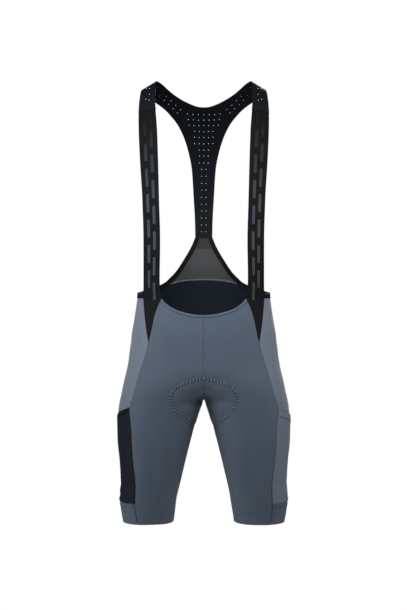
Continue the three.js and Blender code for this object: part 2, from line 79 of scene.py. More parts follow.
def curve(at, values):
    order = np.argsort(at)
    at, values = np.array(at, float)[order], np.array(values, float)[order]
    step = np.diff(at)
    slope = np.diff(values) / step
    before, after = slope[:-1], slope[1:]
    same_way = before * after > 0
    middle = np.where(same_way, 2 * before * after / np.where(same_way, before + after, 1), 0)
    tangent = np.concatenate([slope[:1], middle, slope[-1:]])

    def value(x):
        x = np.clip(x, at[0], at[-1])
        i = np.clip(np.searchsorted(at, x, side="right") - 1, 0, len(at) - 2)
        h = step[i]
        t = (x - at[i]) / h
        from_low = values[i] * (1 + 2 * t) * (1 - t) ** 2 + tangent[i] * h * t * (1 - t) ** 2
        from_high = values[i + 1] * t * t * (3 - 2 * t) + tangent[i + 1] * h * t * t * (t - 1)
        return from_low + from_high

    return value


def table(columns, rows):
    first = [row[0] for row in rows]
    return {name: curve(first, [row[k + 1] for row in rows]) for k, name in enumerate(columns[1:])}


# %% Sections of the figure, in millimetres
FIGURE = table(
    ["z", "outer", "inner", "front", "back", "blend", "power"],
    [
        [20, 150, -150, 60, 34, 0, 2.3],
        [0, 150, -150, 70, 53, 0, 2.3],
        [-34, 150, -150, 84, 74, 0, 2.3],
        [-60, 150, -150, 95, 85, 0, 2.3],
        [-100, 151, -151, 104, 95, 0, 2.3],
        [-150, 150, -150, 109, 101, 0, 2.3],
        [-200, 147, -147, 110, 98, 0, 2.3],
        [-250, 142, -142, 108, 91, 0, 2.3],
        [-318, 136, -136, 104, 81, 0, 2.3],
        [-370, 135, -135, 100, 83, 0, 2.3],
        [-405, 136, -136, 98, 90, 0, 2.3],
        [-446, 139.5, -139.5, 98, 98, 0, 2.3],
        [-491, 146, -146, 102, 106, 0, 2.3],
        [-533, 152, -152, 104, 113, 0, 2.3],
        [-575, 158, -150, 104, 117, 4, 2.3],
        [-597, 162, -106, 103, 117.5, 18, 2.3],
        [-617, 166.5, -56, 101.5, 116, 28, 2.25],
        [-630, 169.5, -25, 100, 114, 28, 2.2],
        [-642, 172.5, -7, 98.5, 112, 22, 2.2],
        [-652, 174.8, 0.5, 97, 110, 16, 2.2],
        [-657, 175.7, 3, 96.3, 108.6, 12, 2.2],
        [-670, 177.8, 7, 95, 104.5, 10, 2.2],
        [-701, 180.5, 16, 92.5, 95, 10, 2.2],
        [-743, 179.6, 27.3, 89.5, 85, 10, 2.15],
        [-785, 175.5, 38, 84.5, 76, 10, 2.1],
        [-827, 173.2, 48, 77, 68, 10, 2.1],
        [-869, 176, 57.6, 69, 62, 10, 2.1],
        [-890, 173.5, 60, 65, 59, 10, 2.1],
        [-913, 169.5, 63, 61, 56, 10, 2.1],
    ],
)


def figure_at(z):
    return {name: value(z) for name, value in FIGURE.items()}


print("half of the figure's width at the waist:", float(FIGURE["outer"](-446)), "mm")


# %% How far a point is from the figure's surface
LEAST_BLEND = 0.01
FARTHEST, HALVINGS = 420.0, 34
NUDGE = 0.5


def leg_field(x, y, s):
    half = (s["outer"] - s["inner"]) / 2
    depth = np.where(y < 0, s["front"], s["back"])
    across = np.abs(x - (s["outer"] + s["inner"]) / 2) / half
    along = np.abs(y) / depth
    return ((across ** s["power"] + along ** s["power"]) ** (1 / s["power"]) - 1) * np.minimum(half, depth)


def body_field(x, y, s):
    near, far = leg_field(x, y, s), leg_field(-x, y, s)
    blend = np.maximum(s["blend"], LEAST_BLEND)
    shared = np.maximum(blend - np.abs(near - far), 0)
    return np.minimum(near, far) - np.where(s["blend"] > LEAST_BLEND, shared * shared / (4 * blend), 0)


def crossing(s, x, y, dx, dy):
    x, y, dx, dy = np.broadcast_arrays(x, y, dx, dy)
    inside = np.zeros(np.broadcast(x, s["outer"]).shape)
    to_middle = -x / np.where(dx < 0, dx, -1)
    outside = np.broadcast_to(np.where((x > 0) & (dx < 0), to_middle, FARTHEST), inside.shape)
    for _ in range(HALVINGS):
        halfway = (inside + outside) / 2
        within = body_field(x + dx * halfway, y + dy * halfway, s) < 0
        inside, outside = np.where(within, halfway, inside), np.where(within, outside, halfway)
    return x + dx * inside, y + dy * inside


def way_out(points):
    x, y, z = points[..., 0], points[..., 1], points[..., 2]
    here, up, down = figure_at(z), figure_at(z + NUDGE), figure_at(z - NUDGE)
    slope = np.stack(
        [
            body_field(x + NUDGE, y, here) - body_field(x - NUDGE, y, here),
            body_field(x, y + NUDGE, here) - body_field(x, y - NUDGE, here),
            body_field(x, y, up) - body_field(x, y, down),
        ],
        axis=-1,
    )
    return slope / np.linalg.norm(slope, axis=-1, keepdims=True)


# %% [markdown]
# A panel is cut along its seams, so its columns have to follow them. Each level of the figure is walked
# once, from the centre front or the inseam round the hip to the back, and the length walked says where a
# column lies. Levels crowd together round the crotch, where the cloth turns nearly level.

# %% Levels of the figure
HEM, CUFF_TOP, SIDE_WAIST, LEVELS_TOP = -913.0, -869.0, -446.0, -402.0
FRONT_LOW, FRONT_CORNER, NECKLINE_POWER = -480.5, -447.0, 1.95
V_TIP = -536.0
RAYS = 240
LEGS_PARTED, LEGS_JOINED, CROTCH_HALVINGS = -700.0, -600.0, 40
CROWD_ROWS, CROWD_BELOW, CROWD_BY = 31, 14, 6
STRIDE = 10000.0


def crotch_height():
    parted, joined = LEGS_PARTED, LEGS_JOINED
    for _ in range(CROTCH_HALVINGS):
        z = (parted + joined) / 2
        if body_field(0.0, 0.0, figure_at(z)) < 0:
            joined = z
        else:
            parted = z
    return parted


CROTCH = crotch_height()
RISE = (np.arange(CROWD_ROWS) / CROWD_BY) ** 2
crowd = [CROTCH + RISE, CROTCH - RISE[1:CROWD_BELOW]]
LEVELS = np.unique(np.concatenate([np.arange(HEM, LEVELS_TOP), *crowd]).round(4))
section = figure_at(LEVELS[:, None])
middle = (section["outer"] + section["inner"]) / 2
joined = body_field(0.0, 0.0, section) < 0
centre_front = crossing(section, 0.0, 0.0, 0.0, -1.0)[1]
centre_back = crossing(section, 0.0, 0.0, 0.0, 1.0)[1]
first_turn = np.where(joined, np.arctan2(centre_front, -middle), -np.pi)
last_turn = np.where(joined, np.arctan2(centre_back, -middle), np.pi)
turn = mix(first_turn, last_turn, np.linspace(0, 1, RAYS + 1)[None, :])
ROUND_X, ROUND_Y = crossing(section, middle, 0.0, np.cos(turn), np.sin(turn))
walked = np.hypot(np.diff(ROUND_X, axis=1), np.diff(ROUND_Y, axis=1))
ROUND_ARC = np.concatenate([np.zeros((len(LEVELS), 1)), np.cumsum(walked, axis=1)], axis=1)
ROUND_LENGTH = ROUND_ARC[:, -1]
KEYS = (ROUND_ARC + STRIDE * np.arange(len(LEVELS))[:, None]).ravel()
print("levels:", len(LEVELS), "crotch at", round(CROTCH, 2), "mm")
print("round the hem:", round(float(ROUND_LENGTH[0])), "mm")


# %% A point of the figure at a height and a length walked
def on_figure(z, arc):
    z, arc = np.broadcast_arrays(np.asarray(z, float), arc)
    low = np.clip(np.searchsorted(LEVELS, z, side="right") - 1, 0, len(LEVELS) - 2)
    t = (z - LEVELS[low]) / (LEVELS[low + 1] - LEVELS[low])
    found = []
    for level in (low, low + 1):
        key = np.clip(arc, 0, ROUND_LENGTH[level] - 1e-6) + STRIDE * level
        found.append((np.interp(key, KEYS, ROUND_X.ravel()), np.interp(key, KEYS, ROUND_Y.ravel())))
    return np.stack([mix(found[0][0], found[1][0], t), mix(found[0][1], found[1][1], t), z], axis=-1)


def walk_to(x_of_level, behind=False):
    across = ROUND_X[:, ::-1] if behind else ROUND_X
    arc = ROUND_ARC[:, ::-1] if behind else ROUND_ARC
    rows = np.arange(len(LEVELS))
    k = np.argmax(across >= x_of_level[:, None], axis=1)
    before = np.maximum(k - 1, 0)
    run = across[rows, k] - across[rows, before]
    t = np.where(k > 0, (x_of_level - across[rows, before]) / np.where(run == 0, 1, run), 0)
    return mix(arc[rows, before], arc[rows, k], t)


def full_length(z):
    return np.interp(z, LEVELS, ROUND_LENGTH)


# %% Seams, as x over z
SEAMS = table(
    ["z", "front", "back"],
    [
        [-404, 99, 98],
        [-446, 100, 104],
        [-534, 113.6, 122],
        [-549, 115.5, 125],
        [-575, 124, 130],
        [-602, 133, 136],
        [-633, 141.5, 142],
        [-652, 147.2, 145.5],
        [-664, 150.8, 147],
        [-675, 153, 149],
        [-690, 151.6, 150],
        [-707, 149.6, 150.5],
        [-741, 147.8, 149],
        [-780, 145.5, 145],
        [-832, 140.5, 142],
        [-874, 142, 142],
        [-913, 136, 138],
    ],
)
STRAP_V = table(
    ["z", "inner", "outer"],
    [
        [-446, 85.6, 124.8],
        [-463, 94.8, 123.6],
        [-480, 101, 122],
        [-497, 105, 119.8],
        [-515, 108.6, 117.2],
        [-536, 113.8, 113.8],
    ],
)
above_tip = LEVELS > V_TIP
FRONT_SEAM = walk_to(np.where(above_tip, STRAP_V["inner"](LEVELS), SEAMS["front"](LEVELS)))
SIDE_SEAM = walk_to(np.where(above_tip, STRAP_V["outer"](LEVELS), SEAMS["front"](LEVELS)))
BACK_SEAM = walk_to(SEAMS["back"](LEVELS), behind=True)
WAIST_EDGE = curve([0, 40, 75, 94, 115, 139.5], [-404.7, -407, -415, -426, -435, -446])


def seam_arc(arcs, z):
    return np.interp(z, LEVELS, arcs)


print("strap's V from", SIDE_WAIST, "down to", V_TIP, "mm")

# %% [markdown]
# ## Materials
# Knit has a fine grain, a slight mottling where loops take dye differently and a soft sheen at grazing
# angles. A photo of cloth could be tiled over each panel, but a few nodes repeat nowhere and stay sharp.
# A grain from two crossed waves runs on the cloth's own UV map, which is in metres so that the grain has
# its real size. Noise adds the mottling, and both feed the colour and a shallow bump.


# %% Node helpers
BANDS_AT_ONE = 20


def maths(tree, operation, a, b):
    made = tree.nodes.new("ShaderNodeMath")
    made.operation = operation
    for socket, value in zip(made.inputs, (a, b)):
        if isinstance(value, bpy.types.NodeSocket):
            tree.links.new(value, socket)
        else:
            socket.default_value = value
    return made.outputs[0]


def weighed(tree, a, share, b):
    return maths(tree, "ADD", maths(tree, "MULTIPLY", a, share), maths(tree, "MULTIPLY", b, 1 - share))


def ramp(tree, factor, tones, dark, light):
    made = tree.nodes.new("ShaderNodeValToRGB")
    for stop, position, color in zip(made.color_ramp.elements, tones, (dark, light)):
        stop.position = position
        stop.color = color
    tree.links.new(factor, made.inputs[0])
    return made.outputs[0]


def wave(tree, vector, period, direction, turn_by=0.0):
    mapping = tree.nodes.new("ShaderNodeMapping")
    mapping.inputs["Rotation"].default_value = (0, 0, turn_by)
    tree.links.new(vector, mapping.inputs["Vector"])
    made = tree.nodes.new("ShaderNodeTexWave")
    made.bands_direction = direction
    made.inputs["Scale"].default_value = 2 * np.pi / (BANDS_AT_ONE * period)
    tree.links.new(mapping.outputs[0], made.inputs["Vector"])
    return made.outputs["Fac"]


def noise(tree, vector, scale, detail=3.0, roughness=0.55):
    made = tree.nodes.new("ShaderNodeTexNoise")
    made.inputs["Scale"].default_value = scale
    made.inputs["Detail"].default_value = detail
    made.inputs["Roughness"].default_value = roughness
    tree.links.new(vector, made.inputs["Vector"])
    return made.outputs["Fac"]


# %% Colours, from screen values to the renderer's linear ones
def linear(r, g, b):
    c = np.array([r, g, b]) / 255
    made = np.where(c <= 0.04045, c / 12.92, ((c + 0.055) / 1.055) ** 2.4)
    return (*[float(v) for v in made], 1.0)


def scaled(color, by):
    return (color[0] * by, color[1] * by, color[2] * by, 1.0)


def mottled(tree, factor, tones, color, mottle):
    return ramp(tree, factor, tones, scaled(color, 1 - mottle), scaled(color, 1 + mottle))


# %% What every cloth's material has
SHEEN_ROUGHNESS, BUMP_STRENGTH = 0.5, 0.6


def start_material(name, roughness, sheen, gloss=0.3):
    material = bpy.data.materials.new(name)
    material.use_nodes = True
    tree = material.node_tree
    shader = tree.nodes["Principled BSDF"]
    shader.inputs["Roughness"].default_value = roughness
    shader.inputs["Specular IOR Level"].default_value = gloss
    shader.inputs["Sheen Weight"].default_value = sheen
    shader.inputs["Sheen Roughness"].default_value = SHEEN_ROUGHNESS
    uv = tree.nodes.new("ShaderNodeUVMap")
    uv.uv_map = "cloth"
    return material, tree, shader, uv.outputs[0]


def finish_cloth(tree, shader, color, height, depth):
    tree.links.new(color, shader.inputs["Base Color"])
    bump = tree.nodes.new("ShaderNodeBump")
    bump.inputs["Strength"].default_value = BUMP_STRENGTH
    bump.inputs["Distance"].default_value = depth
    tree.links.new(height, bump.inputs["Height"])
    tree.links.new(bump.outputs[0], shader.inputs["Normal"])


# %% Knits and nets
COURSE, PATCHES, BROAD_PATCHES = 0.8, 260.0, 18.0
FINE_SHARE, GRAIN_SHARE, PATCH_HEIGHT = 0.6, 0.25, 0.4
KNIT_TONES, NET_TONES = (0.15, 0.75), (0.25, 0.6)
NET_ANGLE, NET_GLOSS, NET_ACROSS = 60, 0.12, 0.5


def knit(name, color, loop=0.9, mottle=0.16, roughness=0.62, sheen=0.15, depth=0.00012, gloss=0.3):
    material, tree, shader, uv = start_material(name, roughness, sheen, gloss)
    wales = wave(tree, uv, loop * MM, "X")
    courses = wave(tree, uv, loop * COURSE * MM, "Y")
    grain = maths(tree, "MULTIPLY", wales, courses)
    patches = noise(tree, uv, PATCHES)
    mottling = weighed(tree, patches, FINE_SHARE, noise(tree, uv, BROAD_PATCHES))
    tone = weighed(tree, grain, GRAIN_SHARE, mottling)
    shade = mottled(tree, tone, KNIT_TONES, color, mottle)
    height = maths(tree, "ADD", grain, maths(tree, "MULTIPLY", patches, PATCH_HEIGHT))
    finish_cloth(tree, shader, shade, height, depth)
    return material


def dark_knit(name, color, loop=0.8, mottle=0.2, roughness=0.7, depth=0.0001, gloss=0.12):
    return knit(name, color, loop, mottle, roughness, 0.0, depth, gloss)


# The threads are the darker grey. The gaps are painted in the lighter grey, as light that shows through the
# net from behind.
def net(name, thread, gap, cell, roughness=0.8, depth=0.0002):
    material, tree, shader, uv = start_material(name, roughness, 0.0, NET_GLOSS)
    one = wave(tree, uv, cell * MM, "X", np.radians(NET_ANGLE))
    other = wave(tree, uv, cell * MM, "X", np.radians(-NET_ANGLE))
    across = maths(tree, "MULTIPLY", wave(tree, uv, cell * MM, "Y"), NET_ACROSS)
    threads = maths(tree, "MAXIMUM", maths(tree, "MULTIPLY", one, other), across)
    shade = ramp(tree, threads, NET_TONES, gap, thread)
    finish_cloth(tree, shader, shade, threads, depth)
    return material


# %% The garment's own knits and nets
NET_CELL = 1.6
BONDED = {"loop": 0.6, "depth": 0.00006, "gloss": 0.03}
body_knit = knit("slate knit", linear(79, 91, 107), gloss=0.2)
side_knit = knit("light slate knit", linear(102, 112, 128))
# The panels' inner faces are the cloth's dark navy wrong side, coloured darker still as painted shade.
inside_knit_and_shade = dark_knit("navy inside with painted shade", linear(28, 34, 43), roughness=0.9, gloss=0.05)
# The yoke's cloth is black: its outside is tinted navy as a painted sheen, and its inside keeps the plain
# black.
yoke_outside_and_sheen = dark_knit("black bonded knit with painted navy sheen", linear(30, 34, 42), **BONDED)
yoke_inside = dark_knit("black bonded knit", linear(24, 27, 32), **BONDED)
# The doubled net's gaps are painted darker, as less light shows through two layers.
back_net = net("grey net", linear(50, 52, 54), linear(76, 78, 80), NET_CELL)
double_net = net("doubled grey net", linear(38, 40, 42), linear(58, 60, 62), NET_CELL)
pocket_net = dark_knit("black ribbed mesh", linear(26, 32, 39), loop=1.1, mottle=0.3, depth=0.0002)
pad_cover = dark_knit("black pad cover", linear(28, 31, 36), mottle=0.25, roughness=0.9)
BODY_FACES, SIDE_FACES = [body_knit, inside_knit_and_shade], [side_knit, inside_knit_and_shade]
print("materials:", len(bpy.data.materials))


# %% Elastic
ELASTIC_ROUGHNESS, ELASTIC_GLOSS, ELASTIC_DEPTH = 0.75, 0.08, 0.00025
RIB, CORD, SPECKS, RIB_SHARE, WEAVE_SHARE = 1.3, 2.1, 700.0, 0.6, 0.5
ELASTIC_TONES, ELASTIC_MOTTLE = (0.2, 0.8), 0.3


def elastic(name, color):
    material, tree, shader, uv = start_material(name, ELASTIC_ROUGHNESS, 0.0, ELASTIC_GLOSS)
    ribs = wave(tree, uv, RIB * MM, "Y")
    cords = wave(tree, uv, CORD * MM, "X")
    specks = noise(tree, uv, SPECKS)
    weave = weighed(tree, ribs, RIB_SHARE, cords)
    tone = weighed(tree, weave, WEAVE_SHARE, specks)
    shade = mottled(tree, tone, ELASTIC_TONES, color, ELASTIC_MOTTLE)
    finish_cloth(tree, shader, shade, weave, ELASTIC_DEPTH)
    return material


black_elastic = elastic("black elastic", linear(20, 20, 21))
print("elastic: ribs of", RIB, "mm")

# %% [markdown]
# The straps are printed with long rounded bars in a slightly lighter grey, in two staggered columns. A
# picture could hold them, but they are painted by distances on the strap's own UV map instead, where u is
# the width and v the length, both in metres. So their edges stay sharp, and the ink can wear thin towards
# the shoulder.

# %% Printed straps
BAR_LENGTH, BAR_WIDTH, BAR_CORNER, BAR_PITCH, BAR_COLUMN = 37.0, 6.4, 1.8, 52.0, 6.6
INK_FULL, INK_GONE, INK_LEFT = 290.0, 460.0, 0.05
INK_FROM, INK_SLANT = 92.0, 2.0


def bars(tree, u, v, column, shift):
    along = maths(tree, "ADD", v, shift * MM)
    along = maths(tree, "PINGPONG", along, BAR_PITCH / 2 * MM)
    along = maths(tree, "SUBTRACT", along, (BAR_LENGTH / 2 - BAR_CORNER) * MM)
    across = maths(tree, "ABSOLUTE", maths(tree, "SUBTRACT", u, column * MM), 0.0)
    across = maths(tree, "SUBTRACT", across, (BAR_WIDTH / 2 - BAR_CORNER) * MM)
    along, across = maths(tree, "MAXIMUM", along, 0.0), maths(tree, "MAXIMUM", across, 0.0)
    far = maths(tree, "ADD", maths(tree, "MULTIPLY", along, along), maths(tree, "MULTIPLY", across, across))
    return maths(tree, "LESS_THAN", maths(tree, "SQRT", far, 0.0), BAR_CORNER * MM)


def printed_elastic(name, color, ink):
    material = elastic(name, color)
    tree = material.node_tree
    shader = tree.nodes["Principled BSDF"]
    cloth = shader.inputs["Base Color"].links[0].from_socket
    parts = tree.nodes.new("ShaderNodeSeparateXYZ")
    tree.links.new(next(n for n in tree.nodes if n.type == "UVMAP").outputs[0], parts.inputs[0])
    u, v = parts.outputs["X"], parts.outputs["Y"]
    one, other = bars(tree, u, v, -BAR_COLUMN, 0.0), bars(tree, u, v, BAR_COLUMN, BAR_PITCH / 2)
    worn = tree.nodes.new("ShaderNodeMapRange")
    tree.links.new(v, worn.inputs["Value"])
    wear = {"From Min": INK_FULL * MM, "From Max": INK_GONE * MM, "To Min": 1, "To Max": INK_LEFT}
    for socket, value in wear.items():
        worn.inputs[socket].default_value = value
    slanted = maths(tree, "SUBTRACT", v, maths(tree, "MULTIPLY", u, INK_SLANT))
    mask = maths(tree, "MULTIPLY", maths(tree, "MAXIMUM", one, other), worn.outputs[0])
    mask = maths(tree, "MULTIPLY", mask, maths(tree, "GREATER_THAN", slanted, INK_FROM * MM))
    printed = tree.nodes.new("ShaderNodeMixRGB")
    tree.links.new(mask, printed.inputs["Fac"])
    tree.links.new(cloth, printed.inputs["Color1"])
    printed.inputs["Color2"].default_value = ink
    tree.links.new(printed.outputs[0], shader.inputs["Base Color"])
    return material


strap_elastic = printed_elastic("printed elastic", linear(22, 23, 24), linear(64, 69, 76))
STRAP_FACES = [strap_elastic, black_elastic]
print("bars:", BAR_LENGTH, "x", BAR_WIDTH, "mm")


# %% Thread
THREAD_ROUGHNESS, FIBRES, THREAD_TONES, THREAD_MOTTLE = 0.55, 1500.0, (0.3, 0.7), 0.25


def thread(name, color):
    material = bpy.data.materials.new(name)
    material.use_nodes = True
    tree = material.node_tree
    shader = tree.nodes["Principled BSDF"]
    shader.inputs["Roughness"].default_value = THREAD_ROUGHNESS
    where = tree.nodes.new("ShaderNodeTexCoord").outputs["Object"]
    shade = mottled(tree, noise(tree, where, FIBRES), THREAD_TONES, color, THREAD_MOTTLE)
    tree.links.new(shade, shader.inputs["Base Color"])
    return material


# The slate thread is lighter than the cloth and the dark slate thread darker. Round the seat pad they are
# lit and shaded copies of one thread: a painted highlight and a painted shade.
slate_thread = thread("slate thread", linear(122, 135, 154))
dark_thread = thread("dark slate thread", linear(44, 51, 62))
grey_thread = thread("grey thread", linear(140, 142, 144))
print("materials:", len(bpy.data.materials))

# %% [markdown]
# ## Cloth shells
# A shell starts as one layer of quads, the outer face of the cloth. A second layer lies one thickness
# further in, and a strip of quads round the rim joins the two, so edges and hems look cut from cloth and
# the piece is closed. Solidify makes such a wall too, but here each layer has its own finish and the wall
# follows the figure's own normals, so neighbours meet at their seams. The UV map is the length walked
# along the cloth.


# %% Grids of points, and their faces
TINY = 1e-9


def unit(vectors):
    return vectors / np.maximum(np.linalg.norm(vectors, axis=-1, keepdims=True), TINY)


def grid_normals(points):
    down = np.gradient(points, axis=0)
    along = np.gradient(points, axis=1)
    return unit(np.cross(down, along))


def grid_faces(rows, columns):
    index = np.arange(rows * columns).reshape(rows, columns)
    corners = [index[:-1, :-1], index[1:, :-1], index[1:, 1:], index[:-1, 1:]]
    return np.stack([c.ravel() for c in corners], axis=1)


def closed_faces(rows, columns):
    count = rows * columns
    sheet = grid_faces(rows, columns)
    index = np.arange(count).reshape(rows, columns)
    rim = np.concatenate([index[0, :], index[1:, -1], index[-1, -2::-1], index[-2:0:-1, 0]])
    ahead = np.roll(rim, -1)
    walls = np.stack([rim, ahead, ahead + count, rim + count], axis=1)
    return np.concatenate([sheet, walls, sheet[:, ::-1] + count]), len(sheet)


# %% One layer of cloth to a finished shell
def new_piece(name, vertices, faces):
    mesh = bpy.data.meshes.new(name)
    mesh.from_pydata(vertices, [], faces)
    piece = bpy.data.objects.new(name, mesh)
    bpy.context.collection.objects.link(piece)
    return piece


def shell(name, points, out, uv, thickness, materials):
    rows, columns = points.shape[:2]
    faces, sheet = closed_faces(rows, columns)
    if (grid_normals(points) * out).sum(axis=-1).mean() < 0:
        faces = faces[:, ::-1]
    both = np.concatenate([points.reshape(-1, 3), (points - out * thickness).reshape(-1, 3)])
    piece = new_piece(name, (both * MM).tolist(), faces.tolist())
    layer = piece.data.uv_layers.new(name="cloth")
    spread = (uv.reshape(-1, 2) * MM)[faces.ravel() % (rows * columns)]
    layer.data.foreach_set("uv", spread.astype(np.float32).ravel())
    for material in materials:
        piece.data.materials.append(material)
    inner = np.zeros(len(faces), np.int32)
    inner[-sheet:] = len(materials) - 1
    piece.data.polygons.foreach_set("material_index", inner)
    piece.data.shade_smooth()
    return piece


# %% Lengths and areas of the cut cloth
LEAST_FILL = 0.31


def cloth_area(points):
    one = np.cross(points[1:, :-1] - points[:-1, :-1], points[1:, 1:] - points[:-1, :-1])
    other = np.cross(points[1:, 1:] - points[:-1, :-1], points[:-1, 1:] - points[:-1, :-1])
    return (np.linalg.norm(one, axis=-1).sum() + np.linalg.norm(other, axis=-1).sum()) / 2


def walked_along(line):
    return np.concatenate([[0], np.cumsum(np.linalg.norm(np.diff(line, axis=0), axis=1))])


def walked_uv(points):
    across = np.linalg.norm(np.diff(points, axis=1), axis=-1)
    down = np.linalg.norm(np.diff(points, axis=0), axis=-1)
    u = np.concatenate([np.zeros((points.shape[0], 1)), np.cumsum(across, axis=1)], axis=1)
    v = np.concatenate([np.zeros((1, points.shape[1])), np.cumsum(down, axis=0)], axis=0)
    return np.stack([u, v], axis=-1)


def cut_sheet(piece, points, node_name, flat=None):
    uv = walked_uv(points)
    width, length = flat or (uv[..., 0].max(), uv[..., 1].max())
    area = min(max(cloth_area(points), LEAST_FILL * width * length), width * length)
    if node_name:
        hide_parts(node_name)
    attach(piece, BODY)
    size = f"{width:.0f} x {length:.0f} mm, {area / 100:.0f} cm2"
    print(piece.name, size, len(piece.data.polygons), "faces")


# %% A piece sewn for one side, from the shape of the left one
SIDES = {"left": 1, "right": -1}


def flipped(side_name, *parts):
    return tuple(part * [SIDES[side_name], 1, 1] for part in parts)


def sew(side_name, name, node_name, made, thickness, materials):
    points, out, uv = made
    points, out = flipped(side_name, points, out)
    piece = shell(name + "_" + side_name, points, out, uv, thickness, materials)
    cut_sheet(piece, points, node_name + "_" + side_name)


# %% Rows and columns that crowd at the edges
EDGE_STEPS = np.array([0, 0.35, 0.8, 1.4, 2.4])
GRAIN = 3.2
CROWD_REACH, CROTCH_GAP, EDGE_GAP, LEAST_STEP = 26, 2.0, 3, 0.02


def spaced(count):
    return np.linspace(0, 1, count)


def edge_shares(count, length):
    steps = EDGE_STEPS / length
    return np.concatenate([steps, np.linspace(steps[-1], 1 - steps[-1], count)[1:-1], 1 - steps[::-1]])


def level_rows(top, bottom):
    between_whole = np.abs(LEVELS - np.round(LEVELS)) > 1e-3
    crowded = LEVELS[(np.abs(LEVELS - CROTCH) < CROWD_REACH) & between_whole]
    even = np.arange(top, bottom, -GRAIN)
    even = even[np.abs(even - CROTCH) > CROTCH_GAP]
    edge = bottom + EDGE_STEPS
    rows = np.unique(np.concatenate([even[even > bottom + EDGE_GAP], crowded[crowded < top], edge]).round(3))
    apart = np.concatenate([[True], np.diff(rows) > LEAST_STEP])
    return rows[apart][::-1]


def fade(distance, width):
    t = np.clip(distance / width, 0, 1)
    return 1 - t * t * (3 - 2 * t)


def lifted(points, out, height):
    return points + out * np.asarray(height)[..., None]


print("rows of a front panel below the V:", len(level_rows(V_TIP, HEM)))

# %% [markdown]
# ## Relief of the panels
# Worn knit isn't a perfect skin. It dips at each seam, where the edges are pulled together, swells over
# the seat pad, sinks along the pad's stitching and lies in soft creases that fan out from the crotch and
# run down the thighs. A cloth simulation would place its creases where it likes. Here each one is listed
# in a table: where its middle is, which way it runs, and how long, wide and deep it is.

# %% Creases
CREASES = {
    "front": [
        # x, z, degrees from level, length, width, depth
        [24, -654, 151, 30, 8, 2.6],
        [78, -648, 24, 36, 10, 0.6],
        [60, -694, 8, 34, 12, 0.5],
        [96, -700, -6, 40, 16, 0.4],
        [104, -560, 70, 44, 12, 0.4],
        [100, -806, 97, 84, 17, 2.6],
        [70, -520, -14, 40, 16, 0.3],
    ],
    "front left": [
        [106, -806, 96, 90, 19, 3.4],
        [104, -898, 176, 22, 16, 6.0],
        [60, -860, 74, 40, 9, -0.8],
    ],
    "front right": [
        [106, -909, 177, 28, 16, 3.4],
        [76, -880, 100, 40, 9, -0.7],
    ],
    "back": [
        [40, -664, 32, 34, 9, 1.0],
        [66, -684, 18, 42, 9, 1.1],
        [92, -702, 6, 40, 10, 0.8],
        [54, -640, 50, 30, 10, 0.7],
        [112, -820, 3, 44, 9, 0.9],
        [104, -842, -7, 38, 8, 0.8],
        [120, -862, 5, 30, 7, 0.6],
        [60, -470, 6, 48, 14, 0.5],
        [84, -520, 58, 46, 12, 0.5],
    ],
    "side": [
        # y, z and the rest as above
        [10, -640, 12, 50, 14, 0.7],
        [-24, -560, -24, 44, 13, 0.5],
        [30, -580, 20, 50, 12, 0.6],
        [0, -836, 4, 60, 9, 0.5],
        [20, -855, -6, 44, 8, 0.5],
    ],
}
AIR = {
    "front left": 0.4,
    "front right": 2.3,
    "back left": 1.1,
    "back right": 3.6,
    "side left": 0.7,
    "side right": 1.9,
}

TURN_BY, MOVE_X, MOVE_Z, BEND = 5, 3, 4, 0.004
RIDGE, RIDGE_OUT = 0.45, 1.7
TURN_PHASE, MOVE_PHASE = 2.1, 1.7


def creased(x, z, panel, side_name):
    name = panel + " " + side_name
    air = AIR[name]
    height = np.zeros_like(z)
    for k, (cx, cz, degrees, length, width, deep) in enumerate(CREASES[panel] + CREASES.get(name, [])):
        angle = np.radians(degrees + TURN_BY * np.sin(air + TURN_PHASE * k))
        dx = x - cx - MOVE_X * np.sin(air * 2 + k)
        dz = z - cz - MOVE_Z * np.cos(air + MOVE_PHASE * k)
        along = dx * np.cos(angle) + dz * np.sin(angle)
        across = -dx * np.sin(angle) + dz * np.cos(angle) + BEND * along * along * np.sin(k + air)
        beside = across - RIDGE_OUT * width
        trough = np.exp(-((across / width) ** 2)) - RIDGE * np.exp(-((beside / width) ** 2))
        height = height - deep * trough * np.exp(-((along / length) ** 2))
    return height


print("creases in the table:", sum(len(rows) for rows in CREASES.values()))


# %% The pad's outline, as x over z
PAD = table(
    ["z", "front", "back"],
    [
        [-560, 0, 8],
        [-566, 0, 30],
        [-578, 0, 50],
        [-594, 0, 66],
        [-609, 0, 74],
        [-611.5, 14, 75],
        [-615, 28, 76],
        [-622, 47, 77],
        [-636, 62, 78],
        [-650, 67, 76],
        [-670, 61, 70],
        [-684, 50, 60],
        [-698, 35, 46],
        [-708, 25, 32],
        [-715, 18, 22],
    ],
)
PAD_TOP, PAD_LOW, PAD_LOWEST = {"front": -609.0, "back": -560.0}, -714.5, -715
PAD_FULL, PAD_FULL_Z, PAD_FULL_X = 5.0, -632.0, 46.0
PAD_FULL_ABOVE, PAD_FULL_BELOW, PAD_FLAT_ROUND = 13.0, 30.0, 14.0
PAD_SWELL, PAD_SWELL_FROM, PAD_SWELL_IN, PAD_GROOVE, PAD_GROOVE_HALF = 1.5, 1, 14, 0.45, 4.2
EDGE_POINTS, AT_ONCE = 400, 4000


def pad_bulge(x, z):
    spread = np.where(z > PAD_FULL_Z, PAD_FULL_ABOVE, PAD_FULL_BELOW)
    near_crotch = np.exp(-(x**2 + (z - CROTCH) ** 2) / PAD_FLAT_ROUND**2)
    return PAD_FULL * np.exp(-((x / PAD_FULL_X) ** 4) - ((z - PAD_FULL_Z) / spread) ** 2) * (1 - near_crotch)


def edge_line(side):
    z = np.linspace(PAD_TOP[side], PAD_LOW, EDGE_POINTS)
    return np.stack([PAD[side](z), z], axis=1)


